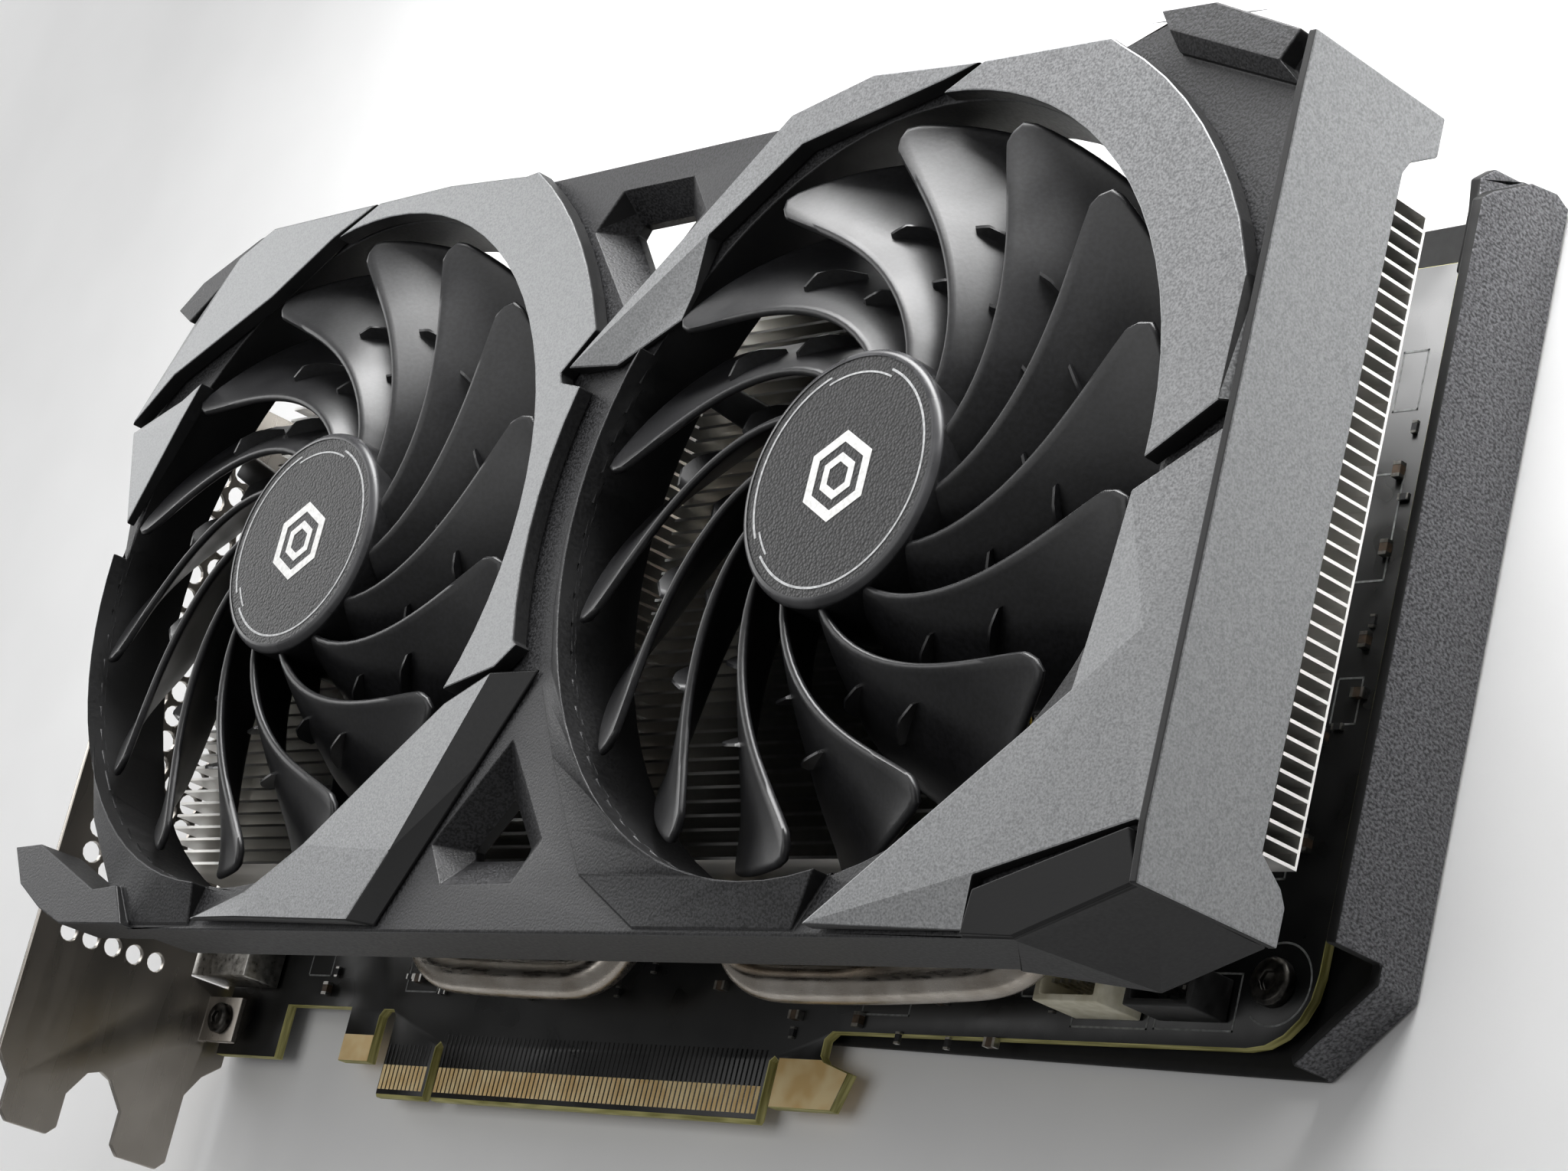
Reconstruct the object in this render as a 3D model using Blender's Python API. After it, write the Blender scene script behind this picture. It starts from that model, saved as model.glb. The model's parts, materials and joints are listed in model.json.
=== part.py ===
"""Two-fan graphics card, built as an assembly of separate pieces.

Sizes are millimetres in the card's own drafting frame, and become metres when an object is made:
  x runs along the card from the edge connector's key notch, towards the tail
  y rises from the bottom of the edge connector
  z rises from the circuit board's front face, towards the fans
The finished card lies on its backplate, fans up, centred on its own bounding box.
"""
import bpy
import bmesh
from math import cos, pi, radians, sin
from mathutils import Vector

# ---- driving dimensions, mm -------------------------------------------------------------------
MM = 0.001
GAP = 0.3                      # clearance kept between pieces that touch on the real card

TAIL_X = 175.5                 # outer face of the tail end cap
BRACKET_X = -59.8              # outer face of the mounting bracket
SCREW_FLANGE = 11.0            # reach of the bracket's screw flange
TAB_BOTTOM_Y = -14.7           # lowest point of the bracket's two tabs
CROWN_Y = 125.6                # highest point of the shroud
REAR_Z = -4.0                  # outer face of the backplate
FRONT_Z = 45.4                 # face of the painted trims and fan hubs

BOARD_T = 1.6
BOARD_LEFT, BOARD_RIGHT, BOARD_TOP = -57.4, 163.1, 111.2
BOARD_BOTTOM = 12.6
FINGER_LEFT, FINGER_RIGHT = -12.65, 72.55
KEY_HALF, KEY_TOP = 0.95, 8.7

FAN_L = (-1.5, 69.4)           # fan axes
FAN_R = (112.7, 69.4)
OPENING_R = 51.0
DUCT_T = 1.6
BLADES = 14
BLADE_TIP_R = 48.8
BLADE_ROOT_R = 16.1
BLADE_LEAD_Z, BLADE_TRAIL_Z = 44.1, 31.4
BLADE_T = 1.3
BLADE_SWEEP, BLADE_CHORD = 56.0, 30.0      # degrees
HUB_R, HUB_REAR_Z = 16.9, 30.3
LABEL_R = 15.86

BASE_Z = 42.6                  # front face of the dark shroud plate
TRIM_FLOOR = BASE_Z + GAP
SKIRT_Z = 31.0                 # rear edge of the shroud's side walls
WALL = 2.0
CAP_T = 1.2

FIN_DEEP_Z, FIN_Z0, FIN_Z1 = 14.0, 20.2, 26.0   # rear edge by the processor, at the tail; front
FIN_COUNT, FIN_PITCH, FIN_T = 42, 1.915, 0.4
FIN_FIRST_Y = 27.6
FIN_LIP_T = 0.4
PIPE_R = 3.0
PIPE_FLOOR_Z, PIPE_HIGH_Z = 10.5, 16.85

CENTRE_X = (BRACKET_X - SCREW_FLANGE + TAIL_X) / 2
CENTRE_Y = (TAB_BOTTOM_Y + CROWN_Y) / 2

for leftover in list(bpy.data.objects):
    bpy.data.objects.remove(leftover)


# ---- materials --------------------------------------------------------------------------------
def finish(name, red, green, blue, roughness, metallic=0.0):
    material = bpy.data.materials.new(name)
    material.use_nodes = True
    shader = material.node_tree.nodes["Principled BSDF"]
    shader.inputs["Base Color"].default_value = (red, green, blue, 1.0)
    shader.inputs["Roughness"].default_value = roughness
    shader.inputs["Metallic"].default_value = metallic
    return material


DARK_ABS = finish("dark_abs", 0.045, 0.046, 0.048, 0.5)
SILVER_PAINT = finish("silver_paint", 0.30, 0.31, 0.32, 0.42, 0.5)
FAN_PLASTIC = finish("fan_plastic", 0.022, 0.023, 0.024, 0.42)
LABEL_FILM = finish("label_film", 0.03, 0.03, 0.032, 0.55)
COPPER = finish("copper_winding", 0.72, 0.35, 0.18, 0.3, 1.0)
STEEL = finish("steel", 0.56, 0.56, 0.55, 0.3, 1.0)
NICKEL = finish("nickel_plate", 0.62, 0.59, 0.55, 0.28, 1.0)
ALUMINIUM = finish("fin_aluminium", 0.75, 0.75, 0.74, 0.3, 1.0)
BOARD = finish("board_laminate", 0.012, 0.013, 0.013, 0.35)
CHIP = finish("chip_epoxy", 0.02, 0.02, 0.02, 0.6)
BLACK_METAL = finish("backplate_coat", 0.06, 0.062, 0.065, 0.45, 0.4)
BRACKET_STEEL = finish("bracket_steel", 0.5, 0.48, 0.45, 0.3, 1.0)
BLACK_NYLON = finish("black_nylon", 0.02, 0.02, 0.02, 0.5)
CREAM_NYLON = finish("cream_nylon", 0.75, 0.72, 0.6, 0.5)
WIRE = finish("wire_insulation", 0.6, 0.45, 0.03, 0.45)


# ---- small tools ------------------------------------------------------------------------------
def row(point):
    """Drafting frame, mm, to the finished card's frame, metres."""
    x, y, z = point
    return Vector(((x - CENTRE_X) * MM, (y - CENTRE_Y) * MM, (z - REAR_Z) * MM))


def arc(centre, radius, start, stop, count):
    """Points on a circle between two angles in degrees, both ends included."""
    step = radians(stop - start) / (count - 1)
    turns = [radians(start) + step * index for index in range(count)]
    return [(centre[0] + radius * cos(turn), centre[1] + radius * sin(turn)) for turn in turns]


def area(outline):
    following = outline[1:] + outline[:1]
    return sum(a[0] * b[1] - b[0] * a[1] for a, b in zip(outline, following)) / 2


def inset(outline, distance):
    """A counter-clockwise outline moved inwards by a wall's thickness."""
    moved = []
    for index, here in enumerate(outline):
        before, after = outline[index - 1], outline[(index + 1) % len(outline)]
        first = Vector((here[0] - before[0], here[1] - before[1])).normalized()
        second = Vector((after[0] - here[0], after[1] - here[1])).normalized()
        normal = Vector((-first.y - second.y, first.x + second.x)).normalized()
        reach = distance / max(0.5, normal.dot(Vector((-first.y, first.x))))
        moved.append((here[0] + normal.x * reach, here[1] + normal.y * reach))
    return moved


def solid(vertices, faces):
    """A closed mesh with its faces pointing out and no loose points."""
    mesh = bpy.data.meshes.new("solid")
    mesh.from_pydata([Vector(vertex) for vertex in vertices], [], faces)
    build = bmesh.new()
    build.from_mesh(mesh)
    loose = [vertex for vertex in build.verts if not vertex.link_faces]
    bmesh.ops.delete(build, geom=loose, context="VERTS")
    bmesh.ops.remove_doubles(build, verts=build.verts, dist=1e-5)
    bmesh.ops.recalc_face_normals(build, faces=build.faces)
    build.to_mesh(mesh)
    build.free()
    return mesh


def stack(low, high):
    """A solid between two outlines of the same number of points, given as x, y, z."""
    count = len(low)
    sides = [(i, (i + 1) % count, count + (i + 1) % count, count + i) for i in range(count)]
    caps = [tuple(range(count))[::-1], tuple(range(count, 2 * count))]
    return solid(low + high, sides + caps)


def prism(outline, low, high, axis="z"):
    """An outline pushed along one axis, between two levels on it."""
    place = {"z": lambda u, v, w: (u, v, w),
             "x": lambda u, v, w: (w, u, v),
             "y": lambda u, v, w: (u, w, v)}[axis]
    return stack([place(u, v, low) for u, v in outline], [place(u, v, high) for u, v in outline])


def block(low, high):
    corners = [(low[0], low[1]), (high[0], low[1]), (high[0], high[1]), (low[0], high[1])]
    return prism(corners, low[2], high[2])


def disc(centre, radius, low, high, sides=48, axis="z"):
    """A round bar; its centre is given in the plane across the axis."""
    return prism(arc(centre, radius, 0, 360 - 360 / sides, sides), low, high, axis)


def faceted(points, facets, floor):
    """A solid with sloping facets on top and one flat underside."""
    count = len(points)
    edges = {pair for facet in facets for pair in zip(facet, facet[1:] + facet[:1])}
    follow = {start: end for start, end in edges if (end, start) not in edges}
    loop = [min(follow)]
    while follow[loop[-1]] != loop[0]:
        loop.append(follow[loop[-1]])
    sides = [(end, start, start + count, end + count) for start, end in follow.items()]
    under = [(x, y, floor) for x, y, z in points]
    base = tuple(index + count for index in reversed(loop))
    return solid(list(points) + under, list(facets) + sides + [base])


def turned(profile, centre, sides=48):
    """A turned solid about z: (radius, z) pairs from one end of the axis to the other."""
    rings, vertices, faces = [], [], []
    for radius, level in profile:
        if radius == 0:
            rings.append([len(vertices)] * sides)
            vertices.append((centre[0], centre[1], level))
            continue
        rings.append(list(range(len(vertices), len(vertices) + sides)))
        vertices += [(x, y, level) for x, y in arc(centre, radius, 0, 360 - 360 / sides, sides)]
    for lower, upper in zip(rings, rings[1:]):
        for index in range(sides):
            after = (index + 1) % sides
            quad = [lower[index], lower[after], upper[after], upper[index]]
            faces.append(tuple(dict.fromkeys(quad)))
    return solid(vertices, faces)


def combine(mesh, other, operation):
    """One exact Boolean step between two meshes; the result is a new mesh."""
    base = bpy.data.objects.new("base", mesh)
    tool = bpy.data.objects.new("tool", other)
    for item in (base, tool):
        bpy.context.collection.objects.link(item)
    step = base.modifiers.new("step", "BOOLEAN")
    step.operation = operation
    step.solver = "EXACT"
    step.object = tool
    shape = bpy.data.meshes.new_from_object(base.evaluated_get(bpy.context.evaluated_depsgraph_get()))
    for item in (base, tool):
        bpy.data.objects.remove(item)
    return shape


def cut(mesh, *tools):
    for tool in tools:
        mesh = combine(mesh, tool, "DIFFERENCE")
    return mesh


def weld(mesh, *tools):
    for tool in tools:
        mesh = combine(mesh, tool, "UNION")
    return mesh


def piece(name, mesh, material, origin=None, smooth=False, parent=None):
    """Places a mesh, drafted in mm, as one named object of the finished card."""
    base = row(origin) if origin else Vector((0.0, 0.0, 0.0))
    for vertex in mesh.vertices:
        vertex.co = row(vertex.co) - base
    tidy = bmesh.new()
    tidy.from_mesh(mesh)
    bmesh.ops.dissolve_limit(tidy, angle_limit=0.0005, verts=tidy.verts, edges=tidy.edges)
    bmesh.ops.triangulate(tidy, faces=tidy.faces)
    tidy.to_mesh(mesh)
    tidy.free()
    mesh.materials.clear()
    mesh.materials.append(material)
    if smooth:
        mesh.shade_smooth()
        mesh.set_sharp_from_angle(angle=radians(35))
    item = bpy.data.objects.new(name, mesh)
    item.location = base
    bpy.context.collection.objects.link(item)
    if parent:
        item.parent = parent
        item.location = base - parent.location
    return item


# ---- circuit board and what is soldered to it --------------------------------------------------
def board_outline():
    """Lower edge with the bracket notch, locating block, fingers, key and hook; then the top."""
    notch = [(BOARD_LEFT, 5.0), (-41.2, 5.0), (-41.2, 13.3), (-24.4, 13.3), (-24.4, 5.1), (-16.8, 5.1)]
    slot = [(-16.8, 12.2), (-16.0, 13.2), (-13.6, 13.2), (FINGER_LEFT, 12.2)]
    key = [(-KEY_HALF, 0.0), (-KEY_HALF, KEY_TOP - 0.8), (0.0, KEY_TOP), (KEY_HALF, KEY_TOP - 0.8)]
    fingers = [(FINGER_LEFT, 0.0)] + key + [(KEY_HALF, 0.0), (FINGER_RIGHT, 0.0)]
    hook = [(FINGER_RIGHT, 8.4), (73.3, 9.0), (74.3, 8.4), (74.3, 2.2), (86.4, 2.2), (88.2, 7.3)]
    rise = [(83.0, 8.6), (82.2, 9.4), (82.2, 11.6), (83.4, BOARD_BOTTOM)]
    corner = arc((BOARD_RIGHT - 9.0, BOARD_BOTTOM + 9.0), 9.0, -90, 0, 6)
    top = [(BOARD_RIGHT, BOARD_TOP), (BOARD_LEFT, BOARD_TOP)]
    return notch + slot + fingers + hook + rise + corner + top


def circuit_board():
    board = prism(board_outline(), -BOARD_T, 0.0)
    for side, face in ((1, 0.0), (-1, -BOARD_T)):
        wedge = [(-0.4, face + side * 0.3), (-0.4, face - side * 0.5), (1.1, face + side * 0.3)]
        board = cut(board, prism(wedge if side > 0 else wedge[::-1], -13.4, 73.6, "x"))
    return board


GPU_CENTRE = (56.5, 62.0)
MEMORY_CENTRES = ((28, 86), (56, 92), (90, 76), (90, 56), (42, 31), (70, 31))
CHOKE_X, CHOKE_FIRST_Y, CHOKE_PITCH, CHOKE_SIDE, CHOKE_TOP = 109, 38, 16, 10.5, 8.0
FAN_HEADER, FAN_HEADER_SIZE = (131.8, 18.2), (10.7, 5.6, 8.2)       # centre; width, depth, height
AUX_HEADER, AUX_HEADER_SIZE = (145.4, 18.1), (10.6, 5.2, 7.0)
HEADER_WALL, HEADER_FLOOR = 0.9, 2.0


def flat_box(centre, width, height, low, high):
    x, y = centre
    return block((x - width / 2, y - height / 2, low), (x + width / 2, y + height / 2, high))


def board_parts():
    piece("circuit_board", circuit_board(), BOARD)
    piece("gpu_substrate", flat_box(GPU_CENTRE, 37, 37, GAP, 1.9), CHIP)
    piece("gpu_die", flat_box(GPU_CENTRE, 21, 19, 2.2, 3.0), STEEL)
    for index, centre in enumerate(MEMORY_CENTRES, 1):
        piece(f"memory_chip_{index}", flat_box(centre, 14, 12, GAP, 1.5), CHIP)
    for index in range(4):
        centre = (CHOKE_X, CHOKE_FIRST_Y + CHOKE_PITCH * index)
        piece(f"power_choke_{index + 1}", flat_box(centre, CHOKE_SIDE, CHOKE_SIDE, GAP, CHOKE_TOP), CHIP)
    piece("fan_header", header(FAN_HEADER, *FAN_HEADER_SIZE), CREAM_NYLON)
    piece("aux_header", header(AUX_HEADER, *AUX_HEADER_SIZE), BLACK_NYLON)
    piece("power_connector", power_connector(), BLACK_NYLON)


def header(centre, width, depth, height):
    """A shrouded pin header, open on top."""
    shell = flat_box(centre, width, depth, GAP, height)
    inside = flat_box(centre, width - 2 * HEADER_WALL, depth - 2 * HEADER_WALL, HEADER_FLOOR, height + 1)
    return cut(shell, inside)


def power_connector():
    """Eight-way socket whose mouths face up, away from the edge connector."""
    body = block((116.0, 97.0, GAP), (135.0, 110.8, 13.2))
    for column in range(4):
        for deck in range(2):
            x = 117.6 + 4.2 * column
            z = 2.0 + 5.2 * deck
            body = cut(body, block((x, 100.0, z), (x + 3.4, 112.0, z + 3.6)))
    return body


# ---- bracket and ports ------------------------------------------------------------------------
BRACKET_T = 0.9
BRACKET_LOW, BRACKET_HIGH, FLANGE_TOP = -2.6, 36.1, 105.0
SLOT_ROWS, SLOT_X, SLOT_HALF = (7.7, 28.0), -66.0, 2.3
GATE_HALF = 9.6
PORT_ROWS = (25.0, 45.5, 66.0, 86.5)
EAR_ROWS = (9.85, 100.6)
EAR_HALF = 3.6
PORT_Z = (0.3, 6.9)
PORT_BACK_X, PORT_FLOOR_X = -45.0, -50.5      # rear of a socket's shell, floor of its pocket
EAR_TIP_X, EAR_Z, EAR_SCREW_X = -49.8, (2.0, 2.9), -53.4


def bracket_outline():
    """Bracket face seen along the card: y across, z up, with two tabs and the notch between."""
    low_tab = [(3.4, BRACKET_LOW), (1.0, 0.4), (-2.5, 2.6), (TAB_BOTTOM_Y + 1.5, 2.6),
               (TAB_BOTTOM_Y, 4.1), (TAB_BOTTOM_Y, 11.3), (TAB_BOTTOM_Y + 1.5, 12.8)]
    notch = [(-8.0, 12.8), (-4.0, 16.0), (-3.2, 18.1), (-4.0, 20.2), (-8.0, 22.9)]
    high_tab = [(TAB_BOTTOM_Y + 1.5, 22.9), (TAB_BOTTOM_Y, 24.4), (TAB_BOTTOM_Y, 31.6),
                (TAB_BOTTOM_Y + 1.5, 33.1), (-8.5, 33.1), (-5.0, BRACKET_HIGH)]
    outline = low_tab + notch + high_tab + [(FLANGE_TOP, BRACKET_HIGH), (FLANGE_TOP, BRACKET_LOW)]
    return outline if area(outline) > 0 else outline[::-1]


def bracket():
    """The bent sheet with its flange, two screw slots and four port gates; its fine vents are left out."""
    inner = BRACKET_X + BRACKET_T
    plate = prism(bracket_outline(), BRACKET_X, inner, "x")
    flange = block((BRACKET_X - SCREW_FLANGE, FLANGE_TOP - BRACKET_T, BRACKET_LOW),
                   (BRACKET_X + 0.4, FLANGE_TOP, BRACKET_HIGH))
    ears = [block((BRACKET_X + 0.4, y - EAR_HALF, EAR_Z[0]), (EAR_TIP_X, y + EAR_HALF, EAR_Z[1]))
            for y in EAR_ROWS]
    sheet = weld(plate, flange, *ears)
    for z in SLOT_ROWS:
        mouth = disc((SLOT_X, z), SLOT_HALF, FLANGE_TOP - 2, FLANGE_TOP + 1, 16, "y")
        way = block((BRACKET_X - SCREW_FLANGE - 1, FLANGE_TOP - 2, z - SLOT_HALF),
                    (SLOT_X, FLANGE_TOP + 1, z + SLOT_HALF))
        sheet = cut(sheet, mouth, way)
    for y in PORT_ROWS:
        gate = block((BRACKET_X - 1, y - GATE_HALF, PORT_Z[0] - GAP),
                     (inner + 0.2, y + GATE_HALF, PORT_Z[1] + GAP))
        sheet = cut(sheet, gate)
    return sheet


def port(y, mouth_width, mouth_height):
    """A socket shell behind the bracket, its pocket open towards the outside."""
    low, high = PORT_Z
    shell = block((BRACKET_X, y - GATE_HALF + GAP, low), (PORT_BACK_X, y + GATE_HALF - GAP, high))
    middle = (low + high) / 2
    half = mouth_height / 2
    pocket = block((BRACKET_X - 1, y - mouth_width / 2, middle - half),
                   (PORT_FLOOR_X, y + mouth_width / 2, middle + half))
    return cut(shell, pocket)


def screw_along_z(centre, head_r, head_low, head_high, shank_r, shank_low):
    """A pan-head screw standing on z, with a hexagonal drive recess."""
    shape = turned([(0, shank_low), (shank_r, shank_low), (shank_r, head_low), (head_r, head_low),
                    (head_r, head_high - 0.4), (head_r - 0.5, head_high), (0, head_high)], centre, 16)
    return cut(shape, disc(centre, head_r * 0.42, head_high - 0.7, head_high + 1, 6))


def bracket_parts():
    piece("mounting_bracket", bracket(), BRACKET_STEEL)
    piece("hdmi_port", port(PORT_ROWS[0], 15.0, 4.9), STEEL)
    for index, y in enumerate(PORT_ROWS[1:], 1):
        piece(f"display_port_{index}", port(y, 16.4, 4.9), STEEL)
    for index, y in enumerate(EAR_ROWS, 1):
        shape = screw_along_z((EAR_SCREW_X, y), 2.4, 3.2, 4.6, 1.2, 3.1)
        piece(f"bracket_screw_{index}", shape, STEEL, smooth=True)


# ---- cooler -----------------------------------------------------------------------------------
def fin_stack(rear):
    """Upright plates joined by folded lips along their rear edge, given as x, z points."""
    count = len(rear)
    step_left = [FIN_LIP_T if index in range(1, count - 1) else 0 for index in range(count)]
    lips = [(x - back, z + FIN_LIP_T) for (x, z), back in zip(rear, step_left)]
    section = list(rear) + lips + [(rear[-1][0], FIN_Z1), (rear[0][0], FIN_Z1)]
    size = len(section)
    far_right, far_left = size - 2, size - 1
    plate = list(range(count)) + [2 * count - 1, far_right, far_left, count]
    strip = list(range(count)) + list(range(2 * count - 1, count - 1, -1))
    wall = list(range(count, 2 * count)) + [far_right, far_left]
    levels = []
    for index in range(FIN_COUNT):
        y = FIN_FIRST_Y + FIN_PITCH * index
        levels += [y - FIN_T / 2, y + FIN_T / 2]
    vertices = [(x, y, z) for y in levels for x, z in section]
    faces = []
    for step in range(len(levels) - 1):
        near, far = step * size, (step + 1) * size
        ring = strip if step % 2 else plate
        for a, b in zip(ring, ring[1:] + ring[:1]):
            faces.append((near + a, near + b, far + b, far + a))
        if step % 2:
            faces.append(tuple(near + k for k in wall))
            faces.append(tuple(far + k for k in reversed(wall)))
    last = (len(levels) - 1) * size
    faces.append(tuple(reversed(plate)))
    faces.append(tuple(last + k for k in plate))
    return solid(vertices, faces)


def rounded_route(points, radius, per_bend=6):
    """A path through corners, with each corner replaced by a smooth bend."""
    route = [Vector(points[0])]
    for before, corner, after in zip(points, points[1:], points[2:]):
        corner = Vector(corner)
        incoming = (corner - Vector(before))
        outgoing = (Vector(after) - corner)
        reach = min(radius, incoming.length / 2.05, outgoing.length / 2.05)
        start = corner - incoming.normalized() * reach
        end = corner + outgoing.normalized() * reach
        for index in range(per_bend + 1):
            t = index / per_bend
            route.append(start.lerp(corner, t).lerp(corner.lerp(end, t), t))
    route.append(Vector(points[-1]))
    return route


def tube(name, route, radius, material, sides=4):
    """A round bar along a route, made from a bevelled curve with filled caps."""
    curve = bpy.data.curves.new(name, "CURVE")
    curve.dimensions = "3D"
    curve.bevel_depth = radius * MM
    curve.bevel_resolution = sides
    curve.use_fill_caps = True
    spline = curve.splines.new("POLY")
    spline.points.add(len(route) - 1)
    for target, point in zip(spline.points, route):
        target.co = (*row(point), 1.0)
    curve.materials.append(material)
    item = bpy.data.objects.new(name, curve)
    bpy.context.collection.objects.link(item)
    return item


def heat_pipe_routes():
    low, high = PIPE_FLOOR_Z, PIPE_HIGH_Z
    return {
        "heat_pipe_1": [(3, 100, low), (3, 16.0, low), (51.8, 15.2, low), (51.8, 90, low)],
        "heat_pipe_2": [(71, 90, low), (71, 16.0, low), (104, 16.2, low), (136, 16.8, high - 2.0),
                        (136, 102, high)],
        "heat_pipe_3": [(61.4, 90, low), (61.4, 24.8, low), (61.4, 19.6, high), (97.5, 19.6, high),
                        (97.5, 24.8, low), (97.5, 102, low)],
        "heat_pipe_4": [(42.2, 32, low), (42.2, 110, low), (20, 110, low), (20, 33, low)],
    }


def cooler_parts():
    left = [(-45.0, FIN_DEEP_Z), (49.0, FIN_DEEP_Z)]
    right = [(58.0, FIN_DEEP_Z), (108.0, FIN_DEEP_Z), (108.0, FIN_Z0), (174.9, FIN_Z0)]
    piece("fin_stack_left", fin_stack(left), ALUMINIUM)
    piece("fin_stack_right", fin_stack(right), ALUMINIUM)
    for name, corners in heat_pipe_routes().items():
        tube(name, rounded_route(corners, 13.0), PIPE_R, NICKEL, 2)
    plate = flat_box(GPU_CENTRE, 47, 66, 3.3, PIPE_FLOOR_Z - PIPE_R - GAP)
    piece("cold_plate", plate, NICKEL)


# ---- fans -------------------------------------------------------------------------------------
def blade(turn, centre):
    """One swept blade: its leading edge near the front face, its trailing edge behind."""
    stations, chords = 5, 4
    vertices, faces = [], []
    for side in (0, 1):
        for i in range(stations):
            s = i / (stations - 1)
            radius = BLADE_ROOT_R + (BLADE_TIP_R - BLADE_ROOT_R) * s
            lead = turn - BLADE_SWEEP * (1 - s) ** 1.55
            for j in range(chords):
                u = j / (chords - 1)
                angle = radians(lead - BLADE_CHORD * u)
                crown = 1.2 * sin(pi * u)
                z = BLADE_LEAD_Z + (BLADE_TRAIL_Z - BLADE_LEAD_Z) * u + crown - BLADE_T * side
                reach = radius - (1.6 if (i == stations - 1 and j in (0, chords - 1)) else 0)
                vertices.append((centre[0] + reach * cos(angle), centre[1] + reach * sin(angle), z))
    under = stations * chords
    for i in range(stations - 1):
        for j in range(chords - 1):
            a, b = i * chords + j, (i + 1) * chords + j
            faces.append((a, b, b + 1, a + 1))
            faces.append((under + a, under + a + 1, under + b + 1, under + b))
    rim = [i * chords for i in range(stations)]
    rim += [(stations - 1) * chords + j for j in range(1, chords)]
    rim += [i * chords + chords - 1 for i in range(stations - 2, -1, -1)]
    rim += [j for j in range(chords - 2, 0, -1)]
    for a, b in zip(rim, rim[1:] + rim[:1]):
        faces.append((a, under + a, under + b, b))
    return vertices, faces


def rotor(centre):
    """Hub cup, open behind for the motor, with a seat for the label and the ring of blades."""
    hub = turned([(0, 43.4), (HUB_R - 1.7, 43.4), (HUB_R - 1.7, HUB_REAR_Z), (HUB_R, HUB_REAR_Z),
                  (HUB_R, FRONT_Z - 0.9), (HUB_R - 0.5, FRONT_Z), (LABEL_R + 0.3, FRONT_Z),
                  (LABEL_R + 0.3, 44.6), (0, 44.6)], centre, 40)
    vertices, faces = [], []
    for index in range(BLADES):
        points, quads = blade(72.7 + 360 / BLADES * index, centre)
        faces += [tuple(k + len(vertices) for k in quad) for quad in quads]
        vertices += points
    return weld(hub, solid(vertices, faces))


def fan_carrier(centre):
    """Motor base with a bearing tube and three arms that reach out under the duct."""
    x, y = centre
    base = disc(centre, 15.0, 27.3, 29.6, 36)
    for turn in (35, 155, 275):
        heading = radians(turn)
        along, across = Vector((cos(heading), sin(heading))), Vector((-sin(heading), cos(heading)))
        corners = [(10.0, -3.0), (54.0, -2.0), (54.0, 2.0), (10.0, 3.0)]
        outline = [(x + along.x * u + across.x * v, y + along.y * u + across.y * v) for u, v in corners]
        base = weld(base, prism(outline, 27.4, 29.2))
    base = weld(base, disc(centre, 4.2, 29.0, 41.0, 24))
    return cut(base, disc(centre, 3.0, 27.0, 42.0, 24))


def fan_parts():
    for side, centre in (("left", FAN_L), ("right", FAN_R)):
        axle = bpy.data.objects.new(f"fan_{side}_axis", None)
        axle.location = row((*centre, HUB_REAR_Z))
        bpy.context.collection.objects.link(axle)
        origin = (*centre, HUB_REAR_Z)
        piece(f"fan_rotor_{side}", rotor(centre), FAN_PLASTIC, origin, True, axle)
        label = turned([(0, 44.9), (LABEL_R, 44.9), (LABEL_R, 45.3), (0, 45.3)], centre, 40)
        piece(f"hub_label_{side}", label, LABEL_FILM, origin, True, axle)
        shaft = turned([(0, 29.9), (1.5, 29.9), (1.5, 43.1), (0, 43.1)], centre, 16)
        piece(f"fan_shaft_{side}", shaft, STEEL, origin, True, axle)
        sleeve = [(1.6, 30.2), (2.7, 30.2), (2.7, 40.6), (1.6, 40.6), (1.6, 30.2)]
        piece(f"fan_bearing_{side}", turned(sleeve, centre, 24), COPPER, smooth=True)
        coil = [(4.5, 31.6), (12.6, 31.6), (13.4, 32.6), (13.4, 39.6), (12.6, 40.6), (4.5, 40.6),
                (4.5, 31.6)]
        piece(f"fan_stator_{side}", turned(coil, centre, 24), COPPER, smooth=True)
        piece(f"fan_carrier_{side}", fan_carrier(centre), FAN_PLASTIC)


# ---- shroud -----------------------------------------------------------------------------------
def shroud_outline():
    """The dark plate seen from the front, counter-clockwise from the lower left."""
    left = arc(FAN_L, OPENING_R + DUCT_T, 206, 176, 7)
    lower = [(-22.0, 12.2), (157.2, 12.5), (174.0, 18.6)]
    right = [(174.0, 118.2), (159.0, 124.4), (150.6, 125.2), (143.0, 123.0), (121.0, 123.8)]
    crown = [(101.0, CROWN_Y), (86.5, 122.3), (30.0, 122.1), (12.0, 123.4), (-5.5, 123.2)]
    shoulder = [(-33.0, 123.1), (-40.2, 119.4), (-52.2, 110.2), (-58.3, 92.4)]
    flank = [(-40.0, 29.0), (-30.0, 18.4)]
    return lower + right + crown + shoulder + left[::-1] + flank


def funnel(tiers):
    """A tool that narrows inwards in steps: each tier is an outline with its height."""
    count = len(tiers[0][0])
    vertices = [(x, y, z) for outline, z in tiers for x, y in outline]
    faces = [tuple(range(count)), tuple(range(len(vertices) - count, len(vertices)))]
    for tier in range(len(tiers) - 1):
        for i in range(count):
            a, b = tier * count + i, tier * count + (i + 1) % count
            faces.append((a, b, b + count, a + count))
    return solid(vertices, faces)


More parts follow.
